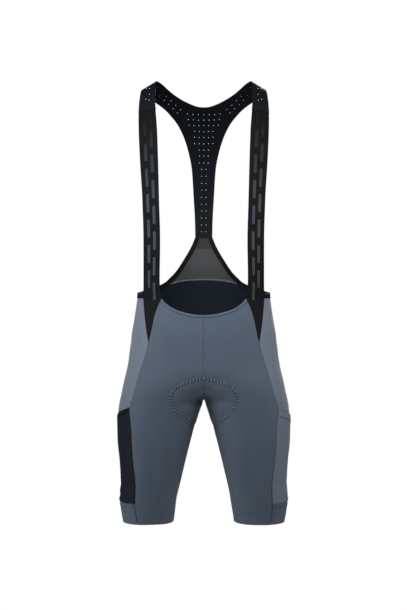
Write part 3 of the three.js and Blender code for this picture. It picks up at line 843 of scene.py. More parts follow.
def from_pad_edge(x, z, side):
    line = edge_line(side)
    flat = np.stack([x.ravel(), z.ravel()], axis=1)
    groups = [flat[start : start + AT_ONCE] for start in range(0, len(flat), AT_ONCE)]
    nearest = [np.linalg.norm(group[:, None] - line[None], axis=2).min(axis=1) for group in groups]
    nearest = np.concatenate(nearest)
    inside = (flat[:, 0] < PAD[side](flat[:, 1])) & (flat[:, 1] < PAD_TOP[side]) & (flat[:, 1] > PAD_LOWEST)
    return np.where(inside, nearest, -nearest).reshape(x.shape)


def pad_relief(x, z, side):
    inward = from_pad_edge(x, z, side)
    swell = PAD_SWELL * (1 - fade(np.maximum(inward - PAD_SWELL_FROM, 0), PAD_SWELL_IN)) * (inward > 0)
    groove = -PAD_GROOVE * np.exp(-((inward / PAD_GROOVE_HALF) ** 2))
    return swell + groove + (pad_bulge(x, z) if side == "front" else 0)


print("pad's edge:", round(float(walked_along(edge_line("back"))[-1])), "mm on each side of the back")

# %% [markdown]
# ## Front panels
# Each front panel runs from the centre seam and the inseam to the strap's V and the side seam. Its top
# edge is the low neckline, turned under into a hem, so the first rows follow the hem and stand a little
# higher than the cloth. The panels could be cut out of one body mesh, but a grid of its own has rows and
# columns along the piece's own edges, so hems and seams stay clean.

# %% Where a panel's cloth lies
CLOTH = 1.3
ON_SEAM, DIP, DIP_WIDTH = 0.05, 0.5, 2.2


def edge_dip(arc, start, end, deep=DIP):
    return -deep * (fade(arc - start, DIP_WIDTH) + fade(end - arc, DIP_WIDTH))


def on_cloth(z, arc):
    base = on_figure(z, arc)
    return base, way_out(base)


def panel_place(z, arc, panel, side_name, dip, above):
    base, out = on_cloth(z, arc)
    from_seam = np.minimum(arc, full_length(z) - arc)
    at_middle = (from_seam < ON_SEAM) & (z > CROTCH)
    out[..., 0] = np.where(at_middle, 0, out[..., 0])
    out = unit(out)
    relief = dip + creased(base[..., 0], z, panel, side_name) + pad_relief(base[..., 0], z, panel)
    points = lifted(base, out, relief + above)
    points[..., 0] = np.where(at_middle, 0, np.maximum(points[..., 0], 0))
    return points, out


# %% Front panels
HEM_WIDTH, HEM_LIFT, HEM_GROOVE, HEM_GROOVE_HALF = 5.6, 0.9, 0.3, 0.7
NECK_STEPS = np.array([0, 0.3, 0.9, 1.8, 2.8, 3.8, 4.7, 5.3, 5.6, 6.1, 6.8, 7.8, 9.4])
COLUMNS, FRONT_WIDTH, V_ROWS = 52, 120, 14


def neckline(u):
    return mix(FRONT_LOW, FRONT_CORNER, u**NECKLINE_POWER)


def hem_relief(below):
    across = np.clip((below - HEM_WIDTH / 2) / (HEM_WIDTH / 2), -1, 1)
    groove = HEM_GROOVE * np.exp(-(((below - HEM_WIDTH) / HEM_GROOVE_HALF) ** 2))
    return HEM_LIFT * np.sqrt(1 - across**2) - groove


def front_place(z, arc, side_name, above=0.0):
    dip = edge_dip(arc, 0.0, seam_arc(FRONT_SEAM, z))
    return panel_place(z, arc, "front", side_name, dip, above)


def front_panel(side_name):
    share = edge_shares(COLUMNS, FRONT_WIDTH)
    top_z = neckline(share)[None, :]
    neck_rows = top_z - NECK_STEPS[:, None]
    gap = neck_rows[-1] - V_TIP
    between = neck_rows[-1][None, :] - gap[None, :] * spaced(V_ROWS)[1:-1, None]
    lower = np.repeat(level_rows(V_TIP, HEM)[:, None], len(share), axis=1)
    z = np.concatenate([neck_rows, between, lower])
    arc = seam_arc(FRONT_SEAM, z) * share[None, :]
    points, out = front_place(z, arc, side_name, hem_relief(top_z - z))
    return points, out, walked_uv(points)


for side_name in SIDES:
    sew(side_name, "front_cloth", "front", front_panel(side_name), CLOTH, BODY_FACES)

# %% [markdown]
# ## Back panels
# The back panels rise to the mesh insert and run down over the seat. They are laid out like the front
# ones, with a centre seam. Their inside shows through the open waist: the cloth's dark navy wrong side,
# coloured darker still as painted shade.
# Their top edge depends on where it lies round the waist, so it is found in a few steps that settle on
# it.

# %% Back panels
WAIST_STEPS = np.array([0, 0.5, 1.2, 2.6, 4.4])
BACK_WIDTH, WAIST_ROWS, SETTLE_TIMES, SETTLE_BY = 130, 26, 14, 0.7


def settle(arc_of):
    z = np.full(arc_of(SIDE_WAIST).shape, SIDE_WAIST)
    for _ in range(SETTLE_TIMES):
        place = on_figure(z, arc_of(z))
        goal = np.where(place[..., 1] < 0, SIDE_WAIST, WAIST_EDGE(place[..., 0]))
        z = mix(z, goal, SETTLE_BY)
    return z


def panel_rows(arc_between, shares):
    top = settle(lambda z: arc_between(z, shares))
    first = top[None, :] - WAIST_STEPS[:, None]
    between = mix(first[-1][None, :], V_TIP, spaced(WAIST_ROWS)[1:-1, None])
    lower = np.repeat(level_rows(V_TIP, HEM)[:, None], len(shares), axis=1)
    return np.concatenate([first, between, lower])


def back_between(z, share):
    return mix(full_length(z), seam_arc(BACK_SEAM, z), share)


def back_place(z, arc, side_name, above=0.0):
    dip = edge_dip(full_length(z) - arc, 0.0, full_length(z) - seam_arc(BACK_SEAM, z))
    return panel_place(z, arc, "back", side_name, dip, above)


def back_panel(side_name):
    shares = edge_shares(COLUMNS, BACK_WIDTH)
    z = panel_rows(back_between, shares)
    points, out = back_place(z, back_between(z, shares[None, :]), side_name)
    return points, out, walked_uv(points)


for side_name in SIDES:
    sew(side_name, "back_cloth", "back", back_panel(side_name), CLOTH, BODY_FACES)

# %% [markdown]
# ## Side panels and hem pieces
# A lighter knit runs down each hip, from the strap's V and the waist tape to a separate hem piece of the
# body knit. One strip with two materials would look alike from afar, but the real edge is a seam, so
# these are two shells that dip where they meet.

# %% Side panels and hem pieces
SIDE_COLUMNS, SIDE_WIDTH, HEM_PIECE_WIDTH = 44, 140, 110
BELOW_EDGE, ABOVE_EDGE = 5, 3


def side_between(z, share):
    return mix(seam_arc(SIDE_SEAM, z), seam_arc(BACK_SEAM, z), share)


def side_dip(z, arc, deep=DIP):
    return edge_dip(arc, seam_arc(SIDE_SEAM, z), seam_arc(BACK_SEAM, z), deep)


def laid(z, arc, relief, side_name):
    base, out = on_cloth(z, arc)
    relief = relief + creased(base[..., 1], z, "side", side_name)
    return lifted(base, out, relief), out, walked_uv(base)


def side_panel(side_name):
    shares = edge_shares(SIDE_COLUMNS, SIDE_WIDTH)
    z = panel_rows(side_between, shares)
    z = np.concatenate([z[z[:, 0] >= CUFF_TOP], np.full((1, len(shares)), CUFF_TOP)])
    arc = side_between(z, shares[None, :])
    return laid(z, arc, side_dip(z, arc) - DIP * fade(z - CUFF_TOP, DIP_WIDTH), side_name)


def hem_piece(side_name):
    shares = edge_shares(SIDE_COLUMNS, HEM_PIECE_WIDTH)
    even = np.arange(CUFF_TOP - BELOW_EDGE, HEM + ABOVE_EDGE, -GRAIN)
    rows = np.concatenate([CUFF_TOP - EDGE_STEPS, even, HEM + EDGE_STEPS[::-1]])
    z = np.repeat(rows[:, None], len(shares), axis=1)
    arc = side_between(z, shares[None, :])
    return laid(z, arc, side_dip(z, arc) - DIP * fade(CUFF_TOP - z, DIP_WIDTH), side_name)


for side_name in SIDES:
    sew(side_name, "side_cloth", "side", side_panel(side_name), CLOTH, SIDE_FACES)
    sew(side_name, "hem_cloth", "cuff", hem_piece(side_name), CLOTH, BODY_FACES)

# %% [markdown]
# ## Thigh pockets
# Each pocket is a second layer on the side panel. The wearer's right one is black ribbed mesh under an
# elastic band, the left one is the side knit with a turned hem. A plane could be shrinkwrapped on to the
# hip, but laid out from the same figure the pocket keeps an even distance from its panel, and the panel's
# own creases run on through it.

# %% Thigh pockets
MOUTHS = {"left": (-674.5, -714.0, 13.0), "right": (-670.5, -716.0, 10.5)}
POCKET_OUT, BAND_OUT, TURNED_OUT, POCKET_CLOTH, BAND_CLOTH = 1.1, 1.5, 1.8, 0.9, 1.2
POCKET_DIP, BAG_DIP, BAG_DIP_WIDTH, BAG_GAP, BAG_ABOVE_HEM = 0.7, 0.6, 2.5, 0.2, 0.4
BAG_ROWS, BAG_HEIGHT, BAND_ROWS, BAND_HEIGHT = 60, 190, 8, 24
POCKET_COLUMNS, POCKET_WIDTH = 40, 130
POCKET_SHARES = edge_shares(POCKET_COLUMNS, POCKET_WIDTH)
FOLD_HEIGHT, FOLD_SLANT, FOLD_PITCH, FOLD_Z, FOLD_REACH = 0.9, 0.04, 3.4, -856, 15
FOLDS = {"left": 0.4, "right": 1.0}
ROLL, ROLL_TOP, ROLL_LOW = 0.35, 1.2, 1.0


def mouth_line(side_name, shares):
    top_front, top_back, band = MOUTHS[side_name]
    return mix(top_front, top_back, shares), band


def pocket_grid(top, bottom, down):
    z = mix(top[None, :], bottom[None, :], down[:, None])
    return z, side_between(z, POCKET_SHARES[None, :])


def pocket_bag(side_name):
    mouth, band = mouth_line(side_name, POCKET_SHARES)
    bottom = np.full_like(mouth, CUFF_TOP + BAG_ABOVE_HEM)
    z, arc = pocket_grid(mouth - (band + BAG_GAP), bottom, edge_shares(BAG_ROWS, BAG_HEIGHT))
    relief = POCKET_OUT + side_dip(z, arc, POCKET_DIP) - BAG_DIP * fade(z - CUFF_TOP, BAG_DIP_WIDTH)
    wave_z = z - FOLD_SLANT * (arc - seam_arc(SIDE_SEAM, z))
    folds = FOLD_HEIGHT * np.sin(wave_z / FOLD_PITCH) * np.exp(-(((z - FOLD_Z) / FOLD_REACH) ** 2))
    return laid(z, arc, relief + folds * FOLDS[side_name], side_name)


def pocket_band(side_name, height):
    mouth, band = mouth_line(side_name, POCKET_SHARES)
    down = edge_shares(BAND_ROWS, BAND_HEIGHT)
    z, arc = pocket_grid(mouth, mouth - band, down)
    base, out = on_cloth(z, arc)
    roll = fade(down * band, ROLL_TOP)[:, None] + fade((1 - down) * band, ROLL_LOW)[:, None]
    return lifted(base, out, height + side_dip(z, arc, POCKET_DIP) - ROLL * roll), out, walked_uv(base)


left_bag, right_bag = pocket_bag("left"), pocket_bag("right")
left_mouth, right_mouth = pocket_band("left", TURNED_OUT), pocket_band("right", BAND_OUT)
sew("left", "pocket_cloth", "pocket", left_bag, POCKET_CLOTH, [side_knit])
sew("left", "pocket_mouth", "pocket_band", left_mouth, BAND_CLOTH, [side_knit])
sew("right", "pocket_cloth", "pocket", right_bag, POCKET_CLOTH, [pocket_net])
sew("right", "pocket_mouth", "pocket_band", right_mouth, BAND_CLOTH, [black_elastic])

# %% [markdown]
# ## Straps
# Each strap is woven elastic, 34 mm wide. Its lower end fills the V between the front and side panels,
# and above the waist it runs free to the shoulder, bowed a little across its width. A cloth simulation
# would add nothing, because a strap under tension keeps its width and has no folds, so it is laid along
# its route from a short table.

# %% Straps
STRAP = table(
    ["z", "innerX", "innerY", "outerX", "outerY"],
    [
        [-447, 87.8, -82, 125, -52],
        [-409, 90.2, -92, 123.8, -66],
        [-328, 88.8, -101, 123.2, -83],
        [-247, 90.8, -104, 125.2, -89],
        [-166, 92.9, -101, 130, -88],
        [-104, 95.2, -92, 133, -80],
        [-58, 99, -80, 134.2, -67],
    ],
)
STRAP_START, STRAP_TOP_INNER, STRAP_TOP_OUTER = -534.0, -58.4, -69.9
STRAP_WIDTH, STRAP_CLOTH, STRAP_COLUMNS, V_STATIONS, FREE_STATIONS = 34, 1.4, 12, 34, 240
STRAP_BOW, BOW_LOSS = 2.5, 0.6
PRESSED_INNER, PRESSED_OUTER, PRESSED_LIFT, PRESSED_OVER = -449.0, -440.0, 0.8, 2.0
UNDER_YOKE, UNDER_YOKE_DEPTH, UNDER_YOKE_FROM, UNDER_YOKE_OVER = (0.2, 3.6, 4.8), 1.1, 0.5, 6.0
UNDER_YOKE_STEPS = np.linspace(0.2, 1, 5)


def strap_out(points):
    out = grid_normals(points)
    return out * np.sign(-out[..., 1].mean())


def strap_in_v(across):
    z = np.linspace(STRAP_START, FRONT_CORNER, V_STATIONS)[:-1, None]
    start, end = seam_arc(FRONT_SEAM, z), seam_arc(SIDE_SEAM, z)
    return on_figure(np.repeat(z, len(across), axis=1), mix(start, end, across[None, :]))


def free_strap(across):
    t, u = spaced(FREE_STATIONS)[:, None], across[None, :]
    inner_z, outer_z = mix(FRONT_CORNER, STRAP_TOP_INNER, t), mix(FRONT_CORNER, STRAP_TOP_OUTER, t)
    bow = -STRAP_BOW * 4 * u * (1 - u) * (1 - BOW_LOSS * t)
    x = mix(STRAP["innerX"](inner_z), STRAP["outerX"](outer_z), u)
    y = mix(STRAP["innerY"](inner_z), STRAP["outerY"](outer_z), u) + bow
    return np.stack([x, y, mix(inner_z, outer_z, u)], axis=-1)


def strap_points(across):
    route = np.concatenate([strap_in_v(across), free_strap(across)])
    pressed = mix(PRESSED_INNER, PRESSED_OUTER, across)[None, :]
    route[..., 1] -= PRESSED_LIFT * fade(route[..., 2] - pressed, PRESSED_OVER)
    joint = len(route) - 1
    route = np.concatenate([route, route[-1:] + UNDER_YOKE_STEPS[:, None, None] * np.array(UNDER_YOKE)])
    to_joint = np.linalg.norm(route - route[joint], axis=-1)
    to_joint[joint + 1 :] = 0
    sunk = -UNDER_YOKE_DEPTH * fade(to_joint - UNDER_YOKE_FROM, UNDER_YOKE_OVER)
    return lifted(route, strap_out(route), sunk)


def strap():
    across = edge_shares(STRAP_COLUMNS, STRAP_WIDTH)
    points = strap_points(across)
    v = walked_along(points[:, len(across) // 2])
    width = np.linalg.norm(points[:, -1] - points[:, 0], axis=-1)
    u = (across[None, :] - 0.5) * width[:, None]
    return points, strap_out(points), np.stack([u, np.repeat(v[:, None], len(across), axis=1)], axis=-1)


for side_name in SIDES:
    sew(side_name, "strap_cloth", "strap", strap(), STRAP_CLOTH, STRAP_FACES)

# %% [markdown]
# ## Yoke
# The yoke goes over both shoulders and narrows to a stem down the spine. Its cloth is bonded and punched
# with small holes that light shines through, so they are cut through the shell: one joined mesh of thin
# rods is taken away by a Boolean modifier, which is quicker and cleaner than one cut for each hole.

# %% Yoke, from its middle at the back to the joint with the strap
YOKE = table(
    ["station", "neckX", "neckY", "neckZ", "lowX", "lowY", "lowZ"],
    [
        [0, 0, 74, -34.4, 0, 81, -317.7],
        [1, 6, 74, -34.1, 17.8, 81, -317.7],
        [2, 10, 74, -33.6, 19.3, 87, -276],
        [3, 14, 74, -32.9, 22.4, 95, -222],
        [4, 19, 73, -31.5, 26, 100, -167],
        [5, 25, 72, -29.4, 34.8, 98, -123],
        [6, 32, 71, -26.7, 46, 90, -91],
        [7, 40, 69, -23.1, 58, 83, -69],
        [8, 49, 66, -18.6, 70, 76, -54.3],
        [9, 58, 62, -13.4, 81, 67, -43.2],
        [10, 68, 55, -6.8, 92, 59, -34.8],
        [11, 77, 44, -0.2, 103, 50, -28],
        [12, 86, 28, 6, 113, 36, -20],
        [13, 94, 13, 9.8, 122, 18, -12.5],
        [14, 99, 0, 10.6, 129.8, 0, -8.7],
        [15, 100.5, -23, -3, 131.4, -20, -15.5],
        [16, 100.5, -45, -20, 132.6, -40, -30],
        [17, 100, -66, -39, 133.6, -57, -48],
        [18, 99, -80, -58, 134.2, -67, -69.5],
    ],
)
YOKE_ON_BACK, YOKE_OWN, YOKE_END = 9, 12, 18
YOKE_COLUMNS, YOKE_ROWS, YOKE_WIDTH, YOKE_CLOTH = 181, 44, 110, 0.9
INSIDE_CHEST = np.array([0.0, 0.0, -120.0])


def on_back(x, z):
    return crossing(figure_at(z), x, 0.0, 0.0, 1.0)[1]


def yoke_place(turn, v):
    station = np.abs(turn)
    x, y, z = (mix(YOKE["neck" + axis](station), YOKE["low" + axis](station), v) for axis in "XYZ")
    own = np.clip((station - YOKE_ON_BACK) / (YOKE_OWN - YOKE_ON_BACK), 0, 1)
    y = mix(on_back(x, z), y, own)
    return np.stack([np.where(turn < 0, -x, x), y, z], axis=-1)


turns, downs = np.linspace(-YOKE_END, YOKE_END, YOKE_COLUMNS), edge_shares(YOKE_ROWS, YOKE_WIDTH)
yoke_points = yoke_place(np.repeat(turns[None, :], len(downs), axis=0), downs[:, None])
yoke_out = grid_normals(yoke_points)
yoke_out = yoke_out * np.sign((yoke_out * (yoke_points - INSIDE_CHEST)).sum(axis=-1).mean())
yoke_uv = walked_uv(yoke_points)
yoke = shell("yoke_cloth", yoke_points, yoke_out, yoke_uv, YOKE_CLOTH, [yoke_outside_and_sheen, yoke_inside])
print("yoke:", len(yoke.data.polygons), "faces before the holes")

# %% [markdown]
# The holes are placed as they look from the front. Each one's x and z are measured in the plane of the
# shoulders, as the camera sees it, and the nearest point of the yoke behind that place is found. So rows
# stay straight to the eye although the cloth curves.

# %% Places of the holes
FIELD = [
    # z at the middle, holes in the row, half the row's width, how far its ends rise
    [-60.6, 7, 34.6, 2.0],
    [-71.9, 7, 32.6, 1.6],
    [-83.5, 7, 30.8, 1.2],
    [-95.9, 5, 19.4, 0.8],
    [-108.5, 5, 19.4, 0.7],
    [-121.5, 5, 19.4, 0.5],
    [-134.5, 3, 9.3, 0.0],
    [-147.5, 3, 9.3, 0.0],
    [-161.8, 3, 9.3, 0.0],
]
STEM_TOP, STEM_PITCH, STEM_ROWS, STEM_HALF = -175.2, 14.6, 10, 4.6
ARM_ROWS = [((98.3, -2.8), (49.1, -49.7)), ((102.1, -11.9), (55.4, -56.6))]
ARM_HOLES, ARM_FROM = 6, 3
FLAP_HOLES = [(113.8, -5.1), (120.3, -5.1), (114.2, -17.3), (121.8, -28.0), (114.9, -29.5)]
SHOULDER_STATION = 14
LOOK_STATIONS, LOOK_ROWS, LOOK_EDGES = 900, 300, (0.01, 0.99)


def as_seen(places):
    away, height = CAMERA_AWAY / MM, CAMERA_HEIGHT / MM
    shrink = away / (away + places[..., 1])
    return np.stack([places[..., 0] * shrink, height + (places[..., 2] - height) * shrink], axis=-1)


def yoke_spots(seen, first, last):
    stations = np.linspace(first, last, LOOK_STATIONS)[None, :]
    downs = np.linspace(*LOOK_EDGES, LOOK_ROWS)[:, None]
    on_yoke = yoke_place(stations, downs).reshape(-1, 3)
    looks = as_seen(on_yoke)
    return np.array([on_yoke[np.argmin(np.hypot(*(looks - spot).T))] for spot in np.array(seen)])


def field_places():
    places = [(STEM_HALF, STEM_TOP - STEM_PITCH * row) for row in range(STEM_ROWS)]
    for z, count, half, rise in FIELD:
        for share in np.linspace(0, 1, (count + 1) // 2):
            places.append((half * share, z + rise * share * share))
    return places


def with_mirrored(half):
    return np.concatenate([half, half[half[:, 0] > 1] * [-1, 1, 1]])


arms = [mix(np.array(a), np.array(b), t) for a, b in ARM_ROWS for t in spaced(ARM_HOLES)]
behind = [yoke_spots(field_places(), 0, YOKE_ON_BACK), yoke_spots(arms, ARM_FROM, SHOULDER_STATION)]
behind = with_mirrored(np.concatenate(behind))
flaps = with_mirrored(yoke_spots(FLAP_HOLES, SHOULDER_STATION, YOKE_END))
print("holes behind the neck:", len(behind), "and in the shoulder flaps:", len(flaps))


# %% Holes punched through the yoke
HOLE, PUNCH_DEPTH, PUNCH_THROUGH, ROD_SIDES = 1.42, 5.0, 90.0, 12
YOKE_CUT = (280.0, 410.0)


def rods(centres, directions, radius, half_lengths):
    angle = np.arange(ROD_SIDES) * 2 * np.pi / ROD_SIDES
    ring = np.stack([np.cos(angle), np.sin(angle)], axis=1)
    vertices, faces = [], []
    for centre, direction, half_length in zip(centres, directions, half_lengths):
        first = len(vertices)
        turned = Vector(direction).to_track_quat("Z", "Y")
        for end in (-half_length, half_length):
            rim = [turned @ Vector((radius * a, radius * b, end)) for a, b in ring]
            vertices += [tuple(Vector(centre) + spoke) for spoke in rim]
        low, high = range(first, first + ROD_SIDES), range(first + ROD_SIDES, first + 2 * ROD_SIDES)
        faces.append(list(low)[::-1])
        faces.append(list(high))
        for k in range(ROD_SIDES):
            following = (k + 1) % ROD_SIDES
            faces.append([low[k], low[following], high[following], high[k]])
    return vertices, faces


def nearest_out(places):
    flat, ways = yoke_points.reshape(-1, 3), yoke_out.reshape(-1, 3)
    return np.array([ways[np.argmin(np.linalg.norm(flat - place, axis=1))] for place in places])


def finished_by(piece, kind, **settings):
    modifier = piece.modifiers.new(kind.lower(), kind)
    for name, value in settings.items():
        setattr(modifier, name, value)
    bpy.context.view_layer.objects.active = piece
    bpy.ops.object.modifier_apply(modifier=modifier.name)


eye = np.array([0.0, -CAMERA_AWAY, CAMERA_HEIGHT]) / MM
ways = np.concatenate([nearest_out(behind), unit(flaps - eye)])
lengths = [PUNCH_DEPTH * MM] * len(behind) + [PUNCH_THROUGH * MM] * len(flaps)
punch = new_piece("punch", *rods(np.concatenate([behind, flaps]) * MM, ways, HOLE / 2 * MM, lengths))
finished_by(yoke, "BOOLEAN", operation="DIFFERENCE", solver="EXACT", object=punch)
bpy.data.objects.remove(punch)
cut_sheet(yoke, yoke_points, "yoke", YOKE_CUT)

# %% [markdown]
# ## Mesh insert
# Below the yoke a triangle of dark grey net spreads to the waist. Its doubled top band is darker, and a
# pale seam joins its lower edge to the back panels. The net's threads and gaps are painted in the
# material, because its gaps are too fine to cut. The gaps are painted lighter, as light that shows
# through from behind, and less so in the doubled band.

# %% Mesh insert
MESH_EDGE = curve([-318, -336, -366, -395, -416], [10.6, 19, 36.8, 56.5, 77])
YOKE_BOTTOM, TUCK, DOUBLED = -317.7, 1.2, 20.0
NET_COLUMNS, NET_ROWS, NET_HEIGHT, NET_CLOTH = 61, 30, 90, 1.0
DOUBLING_CLOTH, DOUBLING_UNDER = 0.7, 1.05


def way_out_both(points):
    out = way_out(np.abs(points) * [1, 0, 0] + points * [0, 1, 1])
    out[..., 0] *= np.where(points[..., 0] < 0, -1, 1)
    return out


def mesh_points(low_of):
    across, up = spaced(NET_COLUMNS) * 2 - 1, edge_shares(NET_ROWS, NET_HEIGHT)
    x = np.zeros((len(up), len(across)))
    for _ in range(SETTLE_TIMES):
        z = mix(low_of(x), YOKE_BOTTOM + TUCK, up[:, None])
        x = across[None, :] * MESH_EDGE(z)
    points = np.stack([x, on_back(np.abs(x), z), z], axis=-1)
    return points, way_out_both(points)


points, out = mesh_points(lambda x: WAIST_EDGE(np.abs(x)) - TUCK)
piece = shell("net_insert", points, out, walked_uv(points), NET_CLOTH, [back_net])
cut_sheet(piece, points, "mesh_insert")

points, out = mesh_points(lambda x: YOKE_BOTTOM - DOUBLED + 0 * x)
points = lifted(points, out, -DOUBLING_UNDER)
piece = shell("net_doubling", points, out, walked_uv(points), DOUBLING_CLOTH, [double_net])
cut_sheet(piece, points, None)

# %% [markdown]
# ## Waist tape
# A soft elastic tape binds the net's edge and runs on round the waist to the strap. It is folded over the
# edge, so it is thickest along its middle. A bevelled curve would be round like a cord, so the tape is a
# narrow sheet.

# %% Waist tape
TAPE_ON_MESH = table(
    ["station", "outerX", "outerZ", "innerX", "innerZ"],
    [
        [0, 18.4, -313.5, 10.0, -314],
        [1, 26, -332, 18.7, -336],
        [2, 43, -362, 36.4, -366],
        [3, 61.5, -389.5, 56.1, -395],
        [4, 78.5, -407, 75, -414.6],
    ],
)
TAPE_CORNER, TAPE_END = 4, 12
TAPE_TURNS = curve(range(TAPE_CORNER, TAPE_END + 1), [47, 37, 27, 18, 10, 3, -4, -13, -21.5])
TAPE_WIDTH = curve([-21.5, -4, 18, 47], [9, 13, 12, 8.5])
TAPE_LAP, TAPE_COLUMNS, TAPE_ACROSS, MESH_STATIONS, WAIST_STATIONS = 0.12, 8, 11, 50, 70
TAPE_CLOTH, TAPE_HIGH, TAPE_LOW = 1.8, 0.8, 0.1
AFTER_CORNER = 3


def at_turn(z, degrees):
    angle = np.radians(degrees)
    x, y = crossing(figure_at(z), 0.0, 0.0, np.cos(angle), np.sin(angle))
    return np.stack([x, y, z + 0 * x], axis=-1)


def tape_on_mesh(across):
    station = np.linspace(0, TAPE_CORNER, MESH_STATIONS)[:, None]
    inner, outer = ([TAPE_ON_MESH[edge + axis](station) for axis in "XZ"] for edge in ("inner", "outer"))
    x, z = mix(inner[0], outer[0], across), mix(inner[1], outer[1], across)
    return np.stack([x, on_back(x, z), z], axis=-1)


def tape_on_waist(across):
    degrees = TAPE_TURNS(np.linspace(TAPE_CORNER, TAPE_END, WAIST_STATIONS))[AFTER_CORNER:, None]
    z = np.full(degrees.shape, SIDE_WAIST)
    for _ in range(SETTLE_TIMES):
        place = at_turn(z, degrees)
        z = np.where(place[..., 1] < 0, SIDE_WAIST, WAIST_EDGE(place[..., 0]))
    return at_turn(z + TAPE_WIDTH(degrees) * across, degrees + 0 * across)


def tape():
    across = mix(-TAPE_LAP, 1, edge_shares(TAPE_COLUMNS, TAPE_ACROSS))[None, :]
    base = np.concatenate([tape_on_mesh(across), tape_on_waist(across)])
    out = way_out(base)
    rounded = TAPE_HIGH * (1 - (2 * across - 1) ** 4) + TAPE_LOW
    return lifted(base, out, rounded + 0 * base[..., 0]), out, walked_uv(base)[..., ::-1]


for side_name in SIDES:
    sew(side_name, "tape_cloth", "tape", tape(), TAPE_CLOTH, [black_elastic])

# %% [markdown]
# ## Seat pad
# The pad is moulded foam under a soft cover, so it is thick in the middle, thin at its sewn edge and
# creased by a few channels. Four closed patches follow the insides of the four panels, and a voxel remesh
# melts them into one skin. A cloth simulation would only puff it, and moulded foam doesn't puff.

# %% Seat pad
PAD_EDGE_THICK, PAD_MIDDLE_THICK, PAD_FULL_IN = 2.2, 7.6, 22
CHANNEL_DEEP, CHANNEL_MIDDLE_HALF, CHANNEL_HALF = 2.2, 3.2, 2.6
CHANNEL_X, CHANNEL_Z, CHANNEL_X_IN, CHANNEL_Z_IN = 30, -640, 8, 10
PATCH_TOP, PATCH_LOW = {"front": -611.0, "back": -568.0}, -713.0
PATCH_ROWS, PATCH_COLUMNS, PATCH_CROWD = 40, 34, RISE[:20:2]
PAD_UNDER, PAD_LAP_X, PAD_LAP_Y = 2.0, -1.0, {"front": 1.2, "back": -1.2}
VOXEL, SMOOTH_FACTOR, SMOOTH_TIMES, PAD_FILL, UV_SLANT = 1.7, 0.5, 4, 0.7, 0.5


def pad_thickness(x, z, side):
    inward = from_pad_edge(x, z, side)
    full = np.sin(np.pi / 2 * np.clip(inward / PAD_FULL_IN, 0, 1))
    middle = np.exp(-((x / CHANNEL_MIDDLE_HALF) ** 2))
    beside = np.exp(-(((np.abs(x) - CHANNEL_X) / CHANNEL_HALF) ** 2)) * (inward > CHANNEL_X_IN)
    across = np.exp(-(((z - CHANNEL_Z) / CHANNEL_HALF) ** 2)) * (inward > CHANNEL_Z_IN)
    channels = CHANNEL_DEEP * np.minimum(middle + beside + across, 1)
    return mix(PAD_EDGE_THICK, PAD_MIDDLE_THICK, full) - channels * full


def pad_patch(side):
    rows = np.concatenate([np.linspace(PATCH_TOP[side], PATCH_LOW, PATCH_ROWS), CROTCH + PATCH_CROWD])
    rows = np.unique(rows.round(3))[::-1]
    z = np.repeat(rows[:, None], PATCH_COLUMNS, axis=1)
    reach = np.interp(rows, LEVELS, walk_to(PAD[side](LEVELS), behind=side == "back"))[:, None]
    first = full_length(rows)[:, None] if side == "back" else np.zeros((len(rows), 1))
    base, out = on_cloth(z, mix(first, reach, spaced(PATCH_COLUMNS)[None, :]))
    thick = pad_thickness(base[..., 0], z, side)
    layers = []
    for depth in (np.full_like(thick, PAD_UNDER), PAD_UNDER + thick):
        layer = lifted(base, out, -depth)
        layer[:, 0, 0] = np.where(rows >= CROTCH, PAD_LAP_X, layer[:, 0, 0])
        layer[:, 0, 1] += np.where(rows <= CROTCH, PAD_LAP_Y[side], 0)
        layers.append(layer.reshape(-1, 3))
    return np.concatenate(layers), closed_faces(*z.shape)[0]


def seat_pad():
    vertices, faces = [], []
    for side in ("front", "back"):
        places, corners = pad_patch(side)
        for sign in SIDES.values():
            faces += (corners + len(vertices)).tolist()
            vertices += (places * [sign, 1, 1] * MM).tolist()
    piece = new_piece("seat_pad_foam", vertices, faces)
    shape = bmesh.new()
    shape.from_mesh(piece.data)
    bmesh.ops.recalc_face_normals(shape, faces=shape.faces)
    shape.to_mesh(piece.data)
    shape.free()
    finished_by(piece, "REMESH", mode="VOXEL", voxel_size=VOXEL * MM)
    finished_by(piece, "SMOOTH", factor=SMOOTH_FACTOR, iterations=SMOOTH_TIMES)
    piece.data.shade_smooth()
    return piece


def top_down_uv(piece):
    layer = piece.data.uv_layers.new(name="cloth")
    places = np.empty(len(piece.data.vertices) * 3)
    piece.data.vertices.foreach_get("co", places)
    corners = np.empty(len(piece.data.loops), int)
    piece.data.loops.foreach_get("vertex_index", corners)
    x, y, z = places.reshape(-1, 3)[corners].T
    layer.data.foreach_set("uv", np.stack([x, y * UV_SLANT + z], axis=1).astype(np.float32).ravel())


pad = seat_pad()
top_down_uv(pad)
pad.data.materials.append(pad_cover)
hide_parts("seat_pad")
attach(pad, BODY)
print("pad faces:", len(pad.data.polygons))

# %% [markdown]
# ## Stitches
# Every seam of the real garment shows its thread. A stitch is modelled once as a short thread that rises
# between its two needle holes, and one mesh holds all the stitches of a seam. The seat pad's zigzag is
# the widest: its thread swings 3.4 mm to each side of the pad's edge.


# %% One mesh for a run of stitches
THREAD_AT, THREAD_SIDES = np.array([0, 0.28, 0.72, 1]), 5
THREAD_SWELL, THREAD_SUNK, THREAD_END = 0.6, 0.5, 0.4


